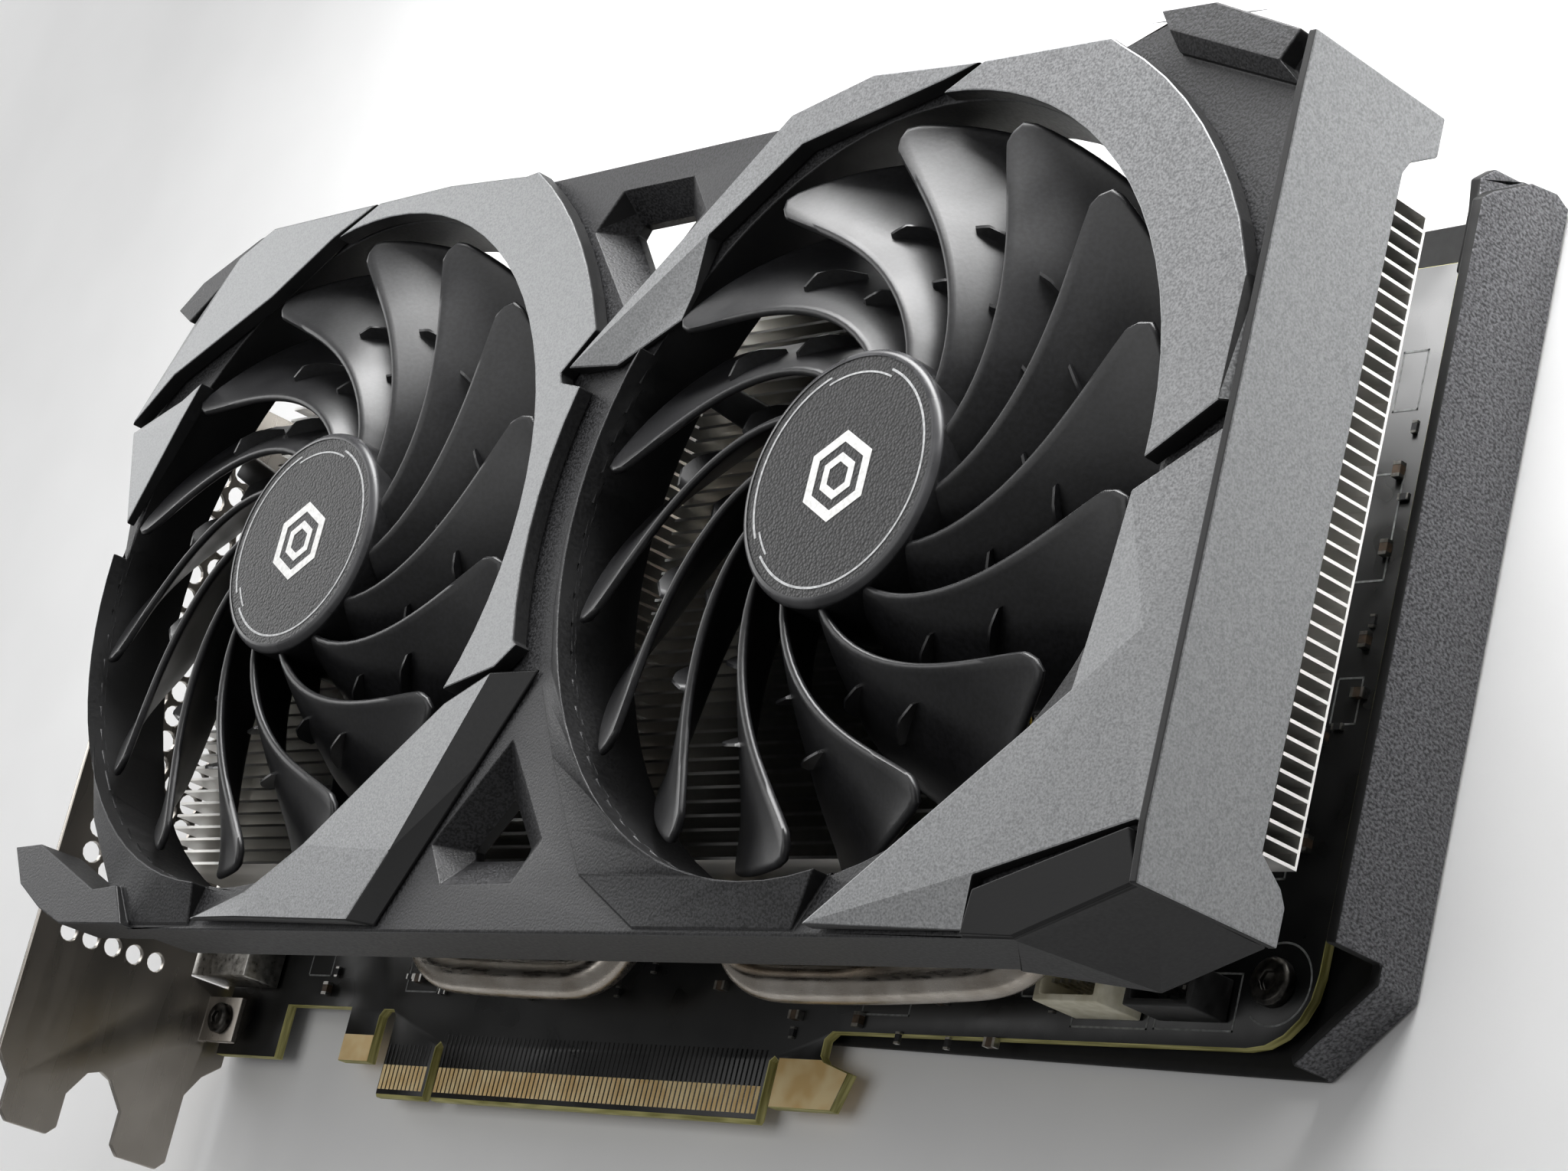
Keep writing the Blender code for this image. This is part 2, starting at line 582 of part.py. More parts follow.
UPPER_POCKET = ([(46.0, 112.2), (50.4, 118.2), (65.6, 118.2), (70.4, 112.2), (58.0, 98.6)],
                [(48.0, 113.0), (49.8, 116.2), (62.0, 116.4), (64.1, 113.2), (55.8, 104.0)],
                [(49.3, 113.6), (50.0, 115.1), (60.4, 115.1), (61.4, 114.2), (55.0, 106.4)])
LOWER_POCKET = ([(46.0, 24.3), (58.2, 39.0), (70.2, 24.8), (65.6, 18.6), (50.4, 18.4)],
                [(48.2, 24.6), (55.8, 34.2), (63.8, 25.1), (62.5, 22.0), (49.8, 22.0)],
                [(49.3, 25.0), (55.1, 32.0), (61.0, 25.2), (60.5, 23.6), (49.8, 23.6)])
POCKET_TIERS = (BASE_Z + 0.4, 39.2, 37.6)


def shroud():
    outline = shroud_outline()
    shell = prism(outline, SKIRT_Z, BASE_Z)
    shell = cut(shell, prism(inset(outline, WALL), SKIRT_Z - 1, BASE_Z - WALL))
    for centre in (FAN_L, FAN_R):
        shell = weld(shell, disc(centre, OPENING_R + DUCT_T, SKIRT_Z + 0.6, BASE_Z - 0.5, 72))
    slabs = [prism([(44.5, 109.0), (54.0, 96.8), (62.0, 96.8), (73.5, 109.0), (73.5, 120.6), (44.5, 120.6)],
                   36.0, BASE_Z - 1),
             prism([(44.5, 16.2), (73.5, 16.2), (73.5, 27.0), (61.5, 41.4), (54.5, 41.4), (44.5, 28.0)],
                   36.0, BASE_Z - 1)]
    shell = weld(shell, *slabs)
    for centre in (FAN_L, FAN_R):
        shell = cut(shell, disc(centre, OPENING_R, SKIRT_Z - 2, FRONT_Z + 1, 72))
    for outlines in (UPPER_POCKET, LOWER_POCKET):
        shell = cut(shell, funnel(list(zip(outlines, POCKET_TIERS))), prism(outlines[-1], SKIRT_Z, 38.0))
    return weld(shell, *raised_rings(), *wings(), *corner_blocks())


def raised_rings():
    """The grained lips round the lower left of each opening, high at the rim and sloping out."""
    floor = BASE_Z - 0.6
    low = BASE_Z + 0.4
    high = FRONT_Z - 0.2
    left_rim = arc(FAN_L, OPENING_R, 178, 267, 20)
    left_out = [(-6.0, 13.0), (-22.0, 13.0), (-30.0, 19.0), (-39.6, 29.4), (-48.4, 46.4)]
    left_out += arc(FAN_L, OPENING_R + DUCT_T - 0.2, 200, 178, 4)
    right_rim = arc(FAN_R, OPENING_R, 154, 284, 28)
    right_out = [(121.0, 13.2), (92.0, 13.2), (79.0, 20.0), (74.6, 26.0), (67.4, 36.0), (61.6, 45.4)]
    right_out += arc(FAN_R, 54.6, 203, 157, 6)
    rings = []
    for rim, out in ((left_rim, left_out), (right_rim, right_out)):
        top = [(x, y, high) for x, y in rim] + [(x, y, low) for x, y in out]
        rings.append(ribbon(top, len(rim), floor))
    return rings


def ribbon(points, split, floor):
    """A faceted strip between an inner run of points and an outer run that comes back."""
    inner = list(range(split))
    outer = list(range(split, len(points)))[::-1]
    facets, i, j = [], 0, 0
    while i < len(inner) - 1 or j < len(outer) - 1:
        step_inner = i / (len(inner) - 1) <= j / (len(outer) - 1)
        if step_inner and i < len(inner) - 1:
            facets.append((inner[i], inner[i + 1], outer[j]))
            i += 1
        else:
            facets.append((inner[i], outer[j + 1], outer[j]))
            j += 1
    return faceted(points, facets, floor)


def wings():
    """The two clip wings on the bracket side."""
    lower = [(-56.4, 24.2), (-52.0, 18.4), (-45.0, 14.8), (-38.0, 12.4), (-21.0, 12.4), (-25.0, 18.2)]
    lower += [(-31.2, 17.6), (-49.4, 24.6)]
    upper = [(-56.8, 112.8), (-52.6, 110.4), (-40.7, 119.9), (-34.4, 123.2), (-38.4, 122.8)]
    upper += [(-51.8, 117.0)]
    root = [(-51.0, 109.0), (-39.5, 118.4), (-35.0, 122.4)] + upper[3:] + upper[:1]
    return [prism(lower, 37.0, FRONT_Z - 0.8),
            weld(prism(upper, 37.0, FRONT_Z - 1.4), prism(root, 37.0, BASE_Z - 0.4))]


def corner_blocks():
    """Chamfered dark blocks at the two tail corners; the lower one's skirt deepens to the end cap."""
    lower = [(149.3, 12.8, 43.4), (157.2, 12.7, 43.0), (173.8, 18.9, 43.0), (172.4, 24.6, 44.4),
             (151.0, 17.6, 44.6)]
    upper = [(150.3, 125.0, 45.2), (152.3, 122.2, 45.3), (171.2, 114.8, 45.3), (173.4, 118.4, 45.2),
             (159.2, 124.5, 45.2), (152.9, 120.0, 43.4), (173.4, 112.2, 43.4)]
    outer = [(157.2, 12.5, 42.0), (173.9, 18.6, 42.0), (173.9, 18.3, 21.4), (163.5, 11.9, 25.0), (147.4, 12.3, 31.0)]
    inner = [(157.0, 14.5, 42.0), (172.2, 20.2, 42.0), (172.2, 20.0, 21.4), (163.0, 13.9, 25.0), (147.4, 14.3, 31.0)]
    return [faceted(lower, [(0, 1, 2, 3, 4)], BASE_Z - 0.5),
            faceted(upper, [(0, 1, 2, 3, 4), (1, 5, 6, 2)], BASE_Z - 0.5),
            solid(outer + inner, [(0, 3, 2, 1), (0, 4, 3), (5, 6, 7, 8), (5, 8, 9)]
                  + [(i, (i + 1) % 5, 5 + (i + 1) % 5, 5 + i) for i in range(5)])]


def level(outline, height=FRONT_Z):
    return [(x, y, height) for x, y in outline]


def left_arc():
    rim = arc(FAN_L, OPENING_R, 104.6, -28.6, 28)
    tip = [(53.4, 47.6), (57.0, 50.6)]
    waist = arc((112.2, 69.4), 59.0, 198.0, 162.4, 8)
    shoulder = [(51.6, 88.2), (50.8, 89.6), (56.2, 95.4)]
    outer = arc(FAN_L, 63.2, 26.0, 57.0, 8)
    crown = [(30.4, 122.1), (12.0, 123.4), (-5.4, 123.2)]
    outline = [rim[-1]] + tip + waist + shoulder + outer + crown + rim[:-1]
    return faceted(level(outline), [tuple(range(len(outline)))], TRIM_FLOOR)


def left_shoulder():
    points = level([(-58.2, 92.9), (-50.0, 100.4), (-28.0, 110.9), (-15.4, 119.0), (-6.2, 123.2),
                    (-33.0, 123.0), (-40.3, 119.4)]) + [(-52.2, 110.0, TRIM_FLOOR + 0.4)]
    return faceted(points, [(0, 1, 2, 3, 4, 5, 6), (0, 6, 7)], TRIM_FLOOR)


def left_point():
    points = [(-58.0, 91.7, 44.9), (-52.9, 76.4, 44.3), (-43.6, 92.9, 45.4), (-41.0, 98.2, 45.4),
              (-46.8, 96.2, 44.5)]
    return faceted(points, [(0, 1, 2), (0, 2, 3, 4)], TRIM_FLOOR)


def left_diagonal():
    ridge = [(53.0, 46.9, FRONT_Z), (41.2, 22.6, FRONT_Z), (34.9, 13.1, FRONT_Z - 0.4)]
    foot = [(60.2, 47.8, TRIM_FLOOR + 0.2), (51.9, 34.2, TRIM_FLOOR + 0.2), (38.8, 13.0, TRIM_FLOOR + 0.2)]
    bottom = [(8.0, 13.4, FRONT_Z - 0.4), (-4.4, 13.4, FRONT_Z - 1.2)]
    chord = [(9.6, 17.2, FRONT_Z - 0.2), (20.5, 23.6, FRONT_Z), (35.5, 35.8, FRONT_Z),
             (44.6, 43.0, FRONT_Z)]
    points = ridge + foot + bottom + chord
    facets = [(0, 2 + 9, 2 + 8, 2 + 7, 6 + 2, 6, 2, 1), (6, 8, 7), (0, 1, 4, 3), (1, 2, 5, 4)]
    return faceted(points, facets, TRIM_FLOOR)


def right_shoulder():
    points = [(52.4, 90.2, FRONT_Z), (86.5, 122.2, FRONT_Z), (101.0, CROWN_Y - 0.2, FRONT_Z),
              (120.6, 123.7, FRONT_Z), (114.6, 122.2, FRONT_Z), (90.0, 117.4, FRONT_Z),
              (75.3, 106.6, FRONT_Z), (73.4, 99.6, 43.9), (71.8, 95.6, 43.6), (60.4, 90.4, 43.6)]
    facets = [(0, 6, 5, 2, 1), (2, 5, 4, 3), (0, 9, 8, 7, 6)]
    return faceted(points, facets, TRIM_FLOOR)


def right_arc():
    rim = arc(FAN_R, OPENING_R, 87.4, -2.6, 20)
    edge = [(173.0, 73.0), (173.2, 88.4)]
    outer = arc((114.8, 67.0), 62.4, 27.0, 61.0, 8)
    crown = [(143.2, 122.8), (121.4, 123.7)]
    outline = [rim[-1]] + edge + outer + crown + rim[:-1]
    points = level(outline) + [(173.9, 73.2, 44.3), (173.9, 85.6, 44.3)]
    last = len(outline)
    return faceted(points, [tuple(range(len(outline))), (1, last, last + 1, 2)], TRIM_FLOOR)


def right_corner():
    points = [(162.4, 63.6, 44.9), (173.8, 70.4, 44.2), (169.2, 46.8, 45.4), (173.9, 25.4, 43.5),
              (172.6, 25.5, 43.8), (150.6, 19.2, 44.6), (124.8, 13.3, 45.0), (160.2, 40.2, 45.2),
              (161.4, 52.0, 45.0), (149.4, 13.2, 43.3)]
    facets = [(0, 8, 7, 2), (0, 2, 1), (1, 2, 4, 3), (2, 7, 6, 5), (2, 5, 4), (5, 6, 9)]
    return faceted(points, facets, TRIM_FLOOR)


def tail_cap():
    outline = [(18.2, 44.6), (18.2, 21.4), (22.8, 21.4), (24.6, 22.6), (27.4, 26.6), (108.8, 26.4),
               (110.6, 25.4), (113.2, 21.2), (118.2, 21.2), (118.2, 44.9), (111.0, 45.1), (25.0, 45.1)]
    return prism(outline, TAIL_X - CAP_T, TAIL_X, "x")


def shroud_parts():
    piece("shroud", shroud(), DARK_ABS)
    trims = {"trim_left_arc": left_arc, "trim_left_shoulder": left_shoulder,
             "trim_left_point": left_point, "trim_left_diagonal": left_diagonal,
             "trim_right_shoulder": right_shoulder, "trim_right_arc": right_arc,
             "trim_right_corner": right_corner}
    for name, shape in trims.items():
        piece(name, shape(), SILVER_PAINT)
    piece("tail_cap", tail_cap(), SILVER_PAINT)


# ---- backplate --------------------------------------------------------------------------------
SPRING_SCREW_REACH = 27.0
BOARD_SCREW = (157.1, 20.4)


def backplate():
    """A sheet behind the board whose tail edge is folded forward into a tall flange."""
    corner_y = 19.6
    outer = [(-55.0, 14.6), (164.6, 10.0), (174.8, corner_y), (174.8, 118.4), (-55.0, 114.0)]
    sheet = prism(outer, REAR_Z, REAR_Z + 1.0)
    side = [(22.0, REAR_Z + 0.5), (118.4, REAR_Z + 0.5), (119.2, -1.4), (118.4, 3.2), (114.4, 9.8),
            (112.8, 11.6), (22.0, 11.6)]
    flange = prism(side, 173.2, 174.8, "x")
    liner = [(104.0, 1.0), (118.9, 1.0), (118.0, 8.6), (115.8, 11.0), (112.0, 10.4), (104.0, 10.4)]
    lining = prism(liner, 171.8, 173.4, "x")
    turn = [(164.0, 11.2), (164.6, 10.0), (174.8, corner_y), (174.8, 22.4), (173.2, 22.8), (173.2, 20.2)]
    sheet = weld(sheet, flange, lining, prism(turn, REAR_Z + 0.5, 3.2))
    slots = [block((96.0 + 12.0 * k, 40.0, -6.0), (101.0 + 12.0 * k, 92.0, 0.0)) for k in range(4)]
    return cut(sheet, *slots)


def spring_screw(centre):
    """Head of a retention screw, between the board and the backplate."""
    return turned([(0, -2.8), (2.6, -2.8), (2.6, -1.9), (0, -1.9)], centre, 16)


def backplate_parts():
    piece("backplate", backplate(), BLACK_METAL)
    reach = SPRING_SCREW_REACH
    corners = [(GPU_CENTRE[0] + reach * a, GPU_CENTRE[1] + reach * b) for a in (-1, 1) for b in (-1, 1)]
    for index, centre in enumerate(corners, 1):
        piece(f"cooler_screw_{index}", spring_screw(centre), STEEL, smooth=True)
    piece("board_screw", screw_along_z(BOARD_SCREW, 3.0, GAP, 1.9, 1.3, 0.2), STEEL, smooth=True)


def fan_lead():
    """The right fan's lead, clipped along the fin stack's edge down to its header."""
    stops = [(126.0, 59.6, 28.3), (133.0, 52.0, 28.3), (141.5, 40.0, 28.3), (142.0, 23.6, 28.2),
             (141.5, 20.6, 20.0), (138.5, 18.4, 11.5), (134.5, 18.3, 9.2)]
    tube("fan_lead_right", rounded_route(stops, 6.0, 4), 0.7, WIRE, 2)


board_parts()
bracket_parts()
cooler_parts()
fan_parts()
shroud_parts()
backplate_parts()
fan_lead()
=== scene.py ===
"""Looks of a two-fan graphics card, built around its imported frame.

New pieces are drafted in millimetres from the edge connector: x from the key notch towards the tail, y up
from the bottom of the connector, z from the board's front face towards the fans.
"""
import json
import bpy
import bmesh
from math import cos, pi, radians, sin, sqrt
from mathutils import Matrix, Vector


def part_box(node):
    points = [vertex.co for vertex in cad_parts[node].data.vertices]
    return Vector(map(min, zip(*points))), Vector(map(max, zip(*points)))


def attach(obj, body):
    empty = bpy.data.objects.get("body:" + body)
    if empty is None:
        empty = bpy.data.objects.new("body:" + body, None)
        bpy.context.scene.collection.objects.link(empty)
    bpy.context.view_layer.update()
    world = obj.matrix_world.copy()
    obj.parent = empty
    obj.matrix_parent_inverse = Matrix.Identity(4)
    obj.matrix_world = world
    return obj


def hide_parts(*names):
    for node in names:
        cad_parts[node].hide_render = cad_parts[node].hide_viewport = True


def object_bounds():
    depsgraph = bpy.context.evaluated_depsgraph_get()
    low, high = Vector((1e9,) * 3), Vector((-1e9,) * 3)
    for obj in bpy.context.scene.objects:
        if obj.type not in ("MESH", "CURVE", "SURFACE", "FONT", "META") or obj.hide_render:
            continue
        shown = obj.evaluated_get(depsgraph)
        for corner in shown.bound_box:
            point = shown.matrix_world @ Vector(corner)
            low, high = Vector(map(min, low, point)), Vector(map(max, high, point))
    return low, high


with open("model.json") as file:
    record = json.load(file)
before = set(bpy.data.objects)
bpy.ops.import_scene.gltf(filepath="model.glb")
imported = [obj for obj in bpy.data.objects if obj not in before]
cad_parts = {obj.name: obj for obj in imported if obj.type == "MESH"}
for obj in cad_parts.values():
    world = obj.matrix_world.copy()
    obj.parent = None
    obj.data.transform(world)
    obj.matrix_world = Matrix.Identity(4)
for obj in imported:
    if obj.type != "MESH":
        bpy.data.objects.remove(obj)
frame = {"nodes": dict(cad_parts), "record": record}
CAD_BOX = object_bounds()
SCENE = bpy.context.scene

# ---- where things are, from the frame ----------------------------------------------------------
MM = 0.001
KEY_FROM_BOARD_LEFT = 57.4
BOARD_LOW, BOARD_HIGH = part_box("circuit_board")
ORIGIN = Vector((BOARD_LOW.x + KEY_FROM_BOARD_LEFT * MM, BOARD_LOW.y, BOARD_HIGH.z))
SIDES = ("left", "right")
BODY_OF = {node: body for body, nodes in frame["record"]["behaviour"]["bodies"].items() for node in nodes}


def at(x, y, z):
    """Drafting millimetres to the frame's metres."""
    return ORIGIN + Vector((x, y, z)) * MM


def drafted(point):
    """The frame's metres to drafting millimetres."""
    return (Vector(point) - ORIGIN) / MM


def middle(node):
    low, high = (drafted(corner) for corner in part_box(node))
    return (low + high) / 2


FAN_AXIS = {side: middle(f"fan_shaft_{side}") for side in SIDES}
FRONT_Z = drafted(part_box("fan_rotor_left")[1]).z
BOARD_REAR = drafted(BOARD_LOW).z

# ---- making pieces -----------------------------------------------------------------------------


def closed(vertices, faces):
    """A mesh drafted in millimetres: doubles merged, faces pointing out, placed in the frame."""
    build = bmesh.new()
    points = [build.verts.new(at(*vertex)) for vertex in vertices]
    for face in faces:
        corners = [points[index] for index in dict.fromkeys(face)]
        if len(corners) > 2:
            build.faces.new(corners)
    bmesh.ops.remove_doubles(build, verts=build.verts, dist=0.004 * MM)
    bmesh.ops.recalc_face_normals(build, faces=build.faces)
    mesh = bpy.data.meshes.new("piece")
    build.to_mesh(mesh)
    build.free()
    return mesh


def joined(*meshes):
    """Several meshes as one."""
    build = bmesh.new()
    for mesh in meshes:
        build.from_mesh(mesh)
    mesh = bpy.data.meshes.new("piece")
    build.to_mesh(mesh)
    build.free()
    return mesh


def settled(item):
    """The object's evaluated mesh becomes its own, and its modifiers go."""
    mesh = bpy.data.meshes.new_from_object(item.evaluated_get(bpy.context.evaluated_depsgraph_get()))
    item.modifiers.clear()
    item.data = mesh
    return item


def linked(name, mesh):
    item = bpy.data.objects.new(name, mesh)
    SCENE.collection.objects.link(item)
    return item


def softened(item, width, segments=2, angle=28):
    """Rounds an object's hard edges, as a mould or a press leaves them."""
    edge = item.modifiers.new("edge", "BEVEL")
    edge.width = width * MM
    edge.segments = segments
    edge.limit_method = "ANGLE"
    edge.angle_limit = radians(angle)
    edge.use_clamp_overlap = False
    settled(item)
    return item


def show(item, material, body, stands_for=(), smooth=35):
    """Gives a finished piece its material and its body, and hides the nodes it stands for."""
    if material:
        item.data.materials.clear()
        item.data.materials.append(material)
    item.data.shade_smooth()
    item.data.set_sharp_from_angle(angle=radians(smooth))
    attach(item, body)
    if stands_for:
        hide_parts(*stands_for)
    return item


SIMPLE_FACE = 24    # corners; a flat face with more runs round holes, and is kept as triangles


def merged_copy(node, flat=0.6):
    """A copy of a CAD node's mesh, its loose triangles joined into whole faces."""
    build = bmesh.new()
    build.from_mesh(frame["nodes"][node].data)
    bmesh.ops.remove_doubles(build, verts=build.verts, dist=0.002 * MM)
    bmesh.ops.dissolve_limit(build, angle_limit=radians(flat), verts=build.verts, edges=build.edges)
    pierced = [face for face in build.faces
               if len(face.verts) > SIMPLE_FACE or len(set(face.verts)) < len(face.verts)]
    bmesh.ops.triangulate(build, faces=pierced)
    mesh = bpy.data.meshes.new(node)
    build.to_mesh(mesh)
    build.free()
    return mesh


def refined(node, material, width=0.3, segments=2, smooth=35):
    """A CAD node with softened edges, standing in its place."""
    item = softened(linked(f"{node}_finished", merged_copy(node)), width, segments)
    return show(item, material, BODY_OF[node], [node], smooth)


def painted_front(node, front, sides, direction, least=0.35, **finish):
    """A refined node whose faces turned to a direction take one material, and all the others a second."""
    item = refined(node, front, **finish)
    item.data.materials.append(sides)
    for face in item.data.polygons:
        face.material_index = 0 if face.normal.dot(Vector(direction)) > least else 1
    return item


def paint_node(node, material):
    """A CAD node whose shape is right keeps it and takes a better material."""
    mesh = frame["nodes"][node].data
    mesh.materials.clear()
    mesh.materials.append(material)


def box(low, high):
    corners = [(x, y, z) for z in (low[2], high[2]) for y in (low[1], high[1]) for x in (low[0], high[0])]
    faces = [(0, 2, 3, 1), (4, 5, 7, 6), (0, 1, 5, 4), (2, 6, 7, 3), (0, 4, 6, 2), (1, 3, 7, 5)]
    return closed(corners, faces)


def turned(profile, centre, sides=96):
    """A turned form about z from (radius, z) pairs; it closes at the axis or back on itself."""
    vertices, faces = [], []
    for radius, level in profile:
        for index in range(sides):
            turn = 2 * pi * index / sides
            vertices.append((centre.x + radius * cos(turn), centre.y + radius * sin(turn), level))
    for ring in range(len(profile) - 1):
        for index in range(sides):
            after = (index + 1) % sides
            first, second = ring * sides, (ring + 1) * sides
            faces.append((first + index, first + after, second + after, second + index))
    return closed(vertices, faces)


def bar_faces(steps, capped):
    """The faces of a four-sided bar of so many steps, with or without its two end faces."""
    faces = []
    for index in range(steps):
        for side in range(4):
            a, b = 4 * index + side, 4 * index + (side + 1) % 4
            faces.append((a, b, b + 4, a + 4))
    if capped:
        faces += [(0, 1, 2, 3), tuple(4 * steps + side for side in (3, 2, 1, 0))]
    return faces


def sector(centre, inner, outer, start, stop, low, high, steps):
    """A thin flat arc: an annulus between two angles in degrees, with a corner at each step."""
    vertices = []
    for index in range(steps + 1):
        turn = radians(start + (stop - start) * index / steps)
        for radius, level in ((inner, low), (outer, low), (outer, high), (inner, high)):
            vertices.append((centre.x + radius * cos(turn), centre.y + radius * sin(turn), level))
    return closed(vertices, bar_faces(steps, abs(stop - start) < 360))


def plate(outline, low, high):
    """An outline in x, y pushed along z."""
    count = len(outline)
    vertices = [(x, y, z) for z in (low, high) for x, y in outline]
    faces = [tuple(range(count)), tuple(range(count, 2 * count))]
    faces += [(i, (i + 1) % count, count + (i + 1) % count, count + i) for i in range(count)]
    return closed(vertices, faces)


# ---- nodes -------------------------------------------------------------------------------------


def add(tree, kind, inputs=None, **properties):
    """Adds one node; inputs maps a socket's name or number to a value or to an output to link."""
    node = tree.nodes.new(kind)
    for name, value in properties.items():
        setattr(node, name, value)
    for key, value in (inputs or {}).items():
        if isinstance(value, bpy.types.NodeSocket):
            tree.links.new(value, node.inputs[key])
        else:
            node.inputs[key].default_value = value
    return node


def paint(code):
    """An sRGB hex colour as linear red, green, blue, alpha."""
    shares = [int(code[index:index + 2], 16) / 255 for index in (1, 3, 5)]
    linear = [share / 12.92 if share <= 0.04045 else ((share + 0.055) / 1.055) ** 2.4 for share in shares]
    return (*linear, 1.0)


def new_material(name, **sockets):
    """A Principled material; each keyword is one of the shader's own sockets."""
    material = bpy.data.materials.new(name)
    material.use_nodes = True
    tree = material.node_tree
    shader = tree.nodes["Principled BSDF"]
    for label, value in sockets.items():
        shader.inputs[label.replace("_", " ")].default_value = value
    return material, tree, shader


def place(tree):
    """The piece's own coordinates, in metres."""
    return add(tree, "ShaderNodeTexCoord").outputs["Object"]


def noise(tree, size, detail=2.0, stretch=None):
    """Noise whose features are about size millimetres wide."""
    vector = place(tree)
    if stretch:
        vector = add(tree, "ShaderNodeMapping", {"Vector": vector, "Scale": stretch}).outputs[0]
    inputs = {"Vector": vector, "Scale": 1 / (size * MM), "Detail": detail}
    return add(tree, "ShaderNodeTexNoise", inputs).outputs["Fac"]


def blend_colours(tree, shader, factor, dark, light, low=0.35, high=0.65):
    """Colours the surface from dark to light over a pattern."""
    spread = add(tree, "ShaderNodeMapRange", {"Value": factor, "From Min": low, "From Max": high}).outputs[0]
    inputs = {0: spread, 6: paint(dark), 7: paint(light)}
    mixed = add(tree, "ShaderNodeMix", inputs, data_type="RGBA").outputs[2]
    tree.links.new(mixed, shader.inputs["Base Color"])


def vary(tree, shader, socket, factor, low, high):
    """Moves a shader value between two levels with a pattern."""
    inputs = {"Value": factor, "From Min": 0.3, "From Max": 0.7, "To Min": low, "To Max": high}
    tree.links.new(add(tree, "ShaderNodeMapRange", inputs).outputs[0], shader.inputs[socket])


def bump(tree, shader, height, depth, strength=1.0):
    """Relief of a given depth in millimetres."""
    inputs = {"Height": height, "Distance": depth * MM, "Strength": strength}
    tree.links.new(add(tree, "ShaderNodeBump", inputs).outputs[0], shader.inputs["Normal"])


# ---- materials ---------------------------------------------------------------------------------


def spark_eroded_abs():
    """Injection-moulded ABS from a spark-eroded mould: dark, with an even fine grain that kills gloss and
    speckles in the light. The real grain is about 0.15 mm and is drawn at 0.35 mm, so that it shows."""
    material, tree, shader = new_material("spark_eroded_abs", Roughness=0.5, IOR=1.54)
    grain = noise(tree, 0.35, 1.0)
    blend_colours(tree, shader, grain, "#1d1d1e", "#3c3c3e", 0.38, 0.62)
    vary(tree, shader, "Roughness", grain, 0.38, 0.6)
    bump(tree, shader, grain, 0.06, 0.8)
    return material


def smooth_black_abs():
    """The same plastic on side walls and in recesses, where the mould was left smooth: satin, with hardly any
    grain to catch the light, and coloured near black as painted shade."""
    material, tree, shader = new_material("smooth_black_abs", Roughness=0.55, IOR=1.5)
    grain = noise(tree, 0.5, 1.0)
    # painted shade: a near-black colour for faces turned away from the front
    blend_colours(tree, shader, grain, "#0e0e0f", "#161617")
    vary(tree, shader, "Roughness", grain, 0.5, 0.6)
    bump(tree, shader, grain, 0.02, 0.4)
    return material


def metallic_flake_paint():
    """Satin silver-grey flake paint over moulded plastic: tiny flakes that each catch the light, so the
    surface sparkles finely and brightens towards a light. Flakes of 0.05 mm are drawn at 0.3 mm."""
    material, tree, shader = new_material("metallic_flake_paint", Metallic=0.75, Roughness=0.4, IOR=1.5)
    flake = noise(tree, 0.3, 1.0)
    blend_colours(tree, shader, flake, "#7b7c7d", "#9a9b9c", 0.3, 0.7)
    vary(tree, shader, "Roughness", flake, 0.34, 0.48)
    bump(tree, shader, flake, 0.025, 0.5)
    return material


def glass_filled_pbt():
    """Fan blades of glass-filled PBT: satin black, slightly uneven gloss where glass lies near the skin."""
    material, tree, shader = new_material("glass_filled_pbt", Roughness=0.36, IOR=1.55)
    grain = noise(tree, 0.6, 2.0)
    clouds = noise(tree, 9.0, 1.0)
    blend_colours(tree, shader, grain, "#151516", "#202022")
    vary(tree, shader, "Roughness", clouds, 0.32, 0.42)
    bump(tree, shader, grain, 0.02, 0.5)
    return material


def polished_pbt():
    """The same plastic from the polished part of the mould, on the hub's rim: a smooth soft gloss, and a
    lighter grey than the blades as painted sheen.
    """
    material, tree, shader = new_material("polished_pbt", Roughness=0.28, IOR=1.55)
    clouds = noise(tree, 4.0, 2.0)
    # painted sheen: a lighter grey than the blade plastic's own colour
    blend_colours(tree, shader, clouds, "#39393b", "#48484a")
    vary(tree, shader, "Roughness", clouds, 0.24, 0.34)
    return material


def pebbled_polyester_film():
    """Hub label of pebble-embossed polyester film: matt dark grey, with small round painted highlights on the
    pebbles and painted shade, black, between them. The 0.2 mm pebbles are drawn at 0.45 mm."""
    material, tree, shader = new_material("pebbled_polyester_film", Roughness=0.45, IOR=1.6)
    inputs = {"Vector": place(tree), "Scale": 1 / (0.45 * MM)}
    pebble = add(tree, "ShaderNodeTexVoronoi", inputs).outputs["Distance"]
    # painted highlight on each pebble's crown, painted shade between the pebbles
    blend_colours(tree, shader, pebble, "#2a2a2c", "#060607", 0.1, 0.55)
    rise = add(tree, "ShaderNodeMath", {0: 1.0, 1: pebble}, operation="SUBTRACT").outputs[0]
    bump(tree, shader, rise, 0.12, 1.0)
    return material


def screen_ink(name, light, dark):
    """Screen-printed ink: a flat, slightly chalky film with a faint mottle from the mesh."""
    material, tree, shader = new_material(name, Roughness=0.55)
    mottle = noise(tree, 0.6, 2.0)
    blend_colours(tree, shader, mottle, dark, light)
    bump(tree, shader, mottle, 0.01, 0.4)
    return material


def nickel_plated_copper():
    """Bent heat pipes in bright nickel: a warm satin metal with drawing lines and cloudy handling marks."""
    material, tree, shader = new_material("nickel_plated_copper", Metallic=1.0, Roughness=0.27)
    clouds = noise(tree, 6.0, 3.0)
    lines = noise(tree, 0.5, 2.0, (0.12, 1.0, 1.0))
    blend_colours(tree, shader, clouds, "#b5aca1", "#d3ccc3")
    vary(tree, shader, "Roughness", lines, 0.2, 0.36)
    bump(tree, shader, lines, 0.01, 0.3)
    return material


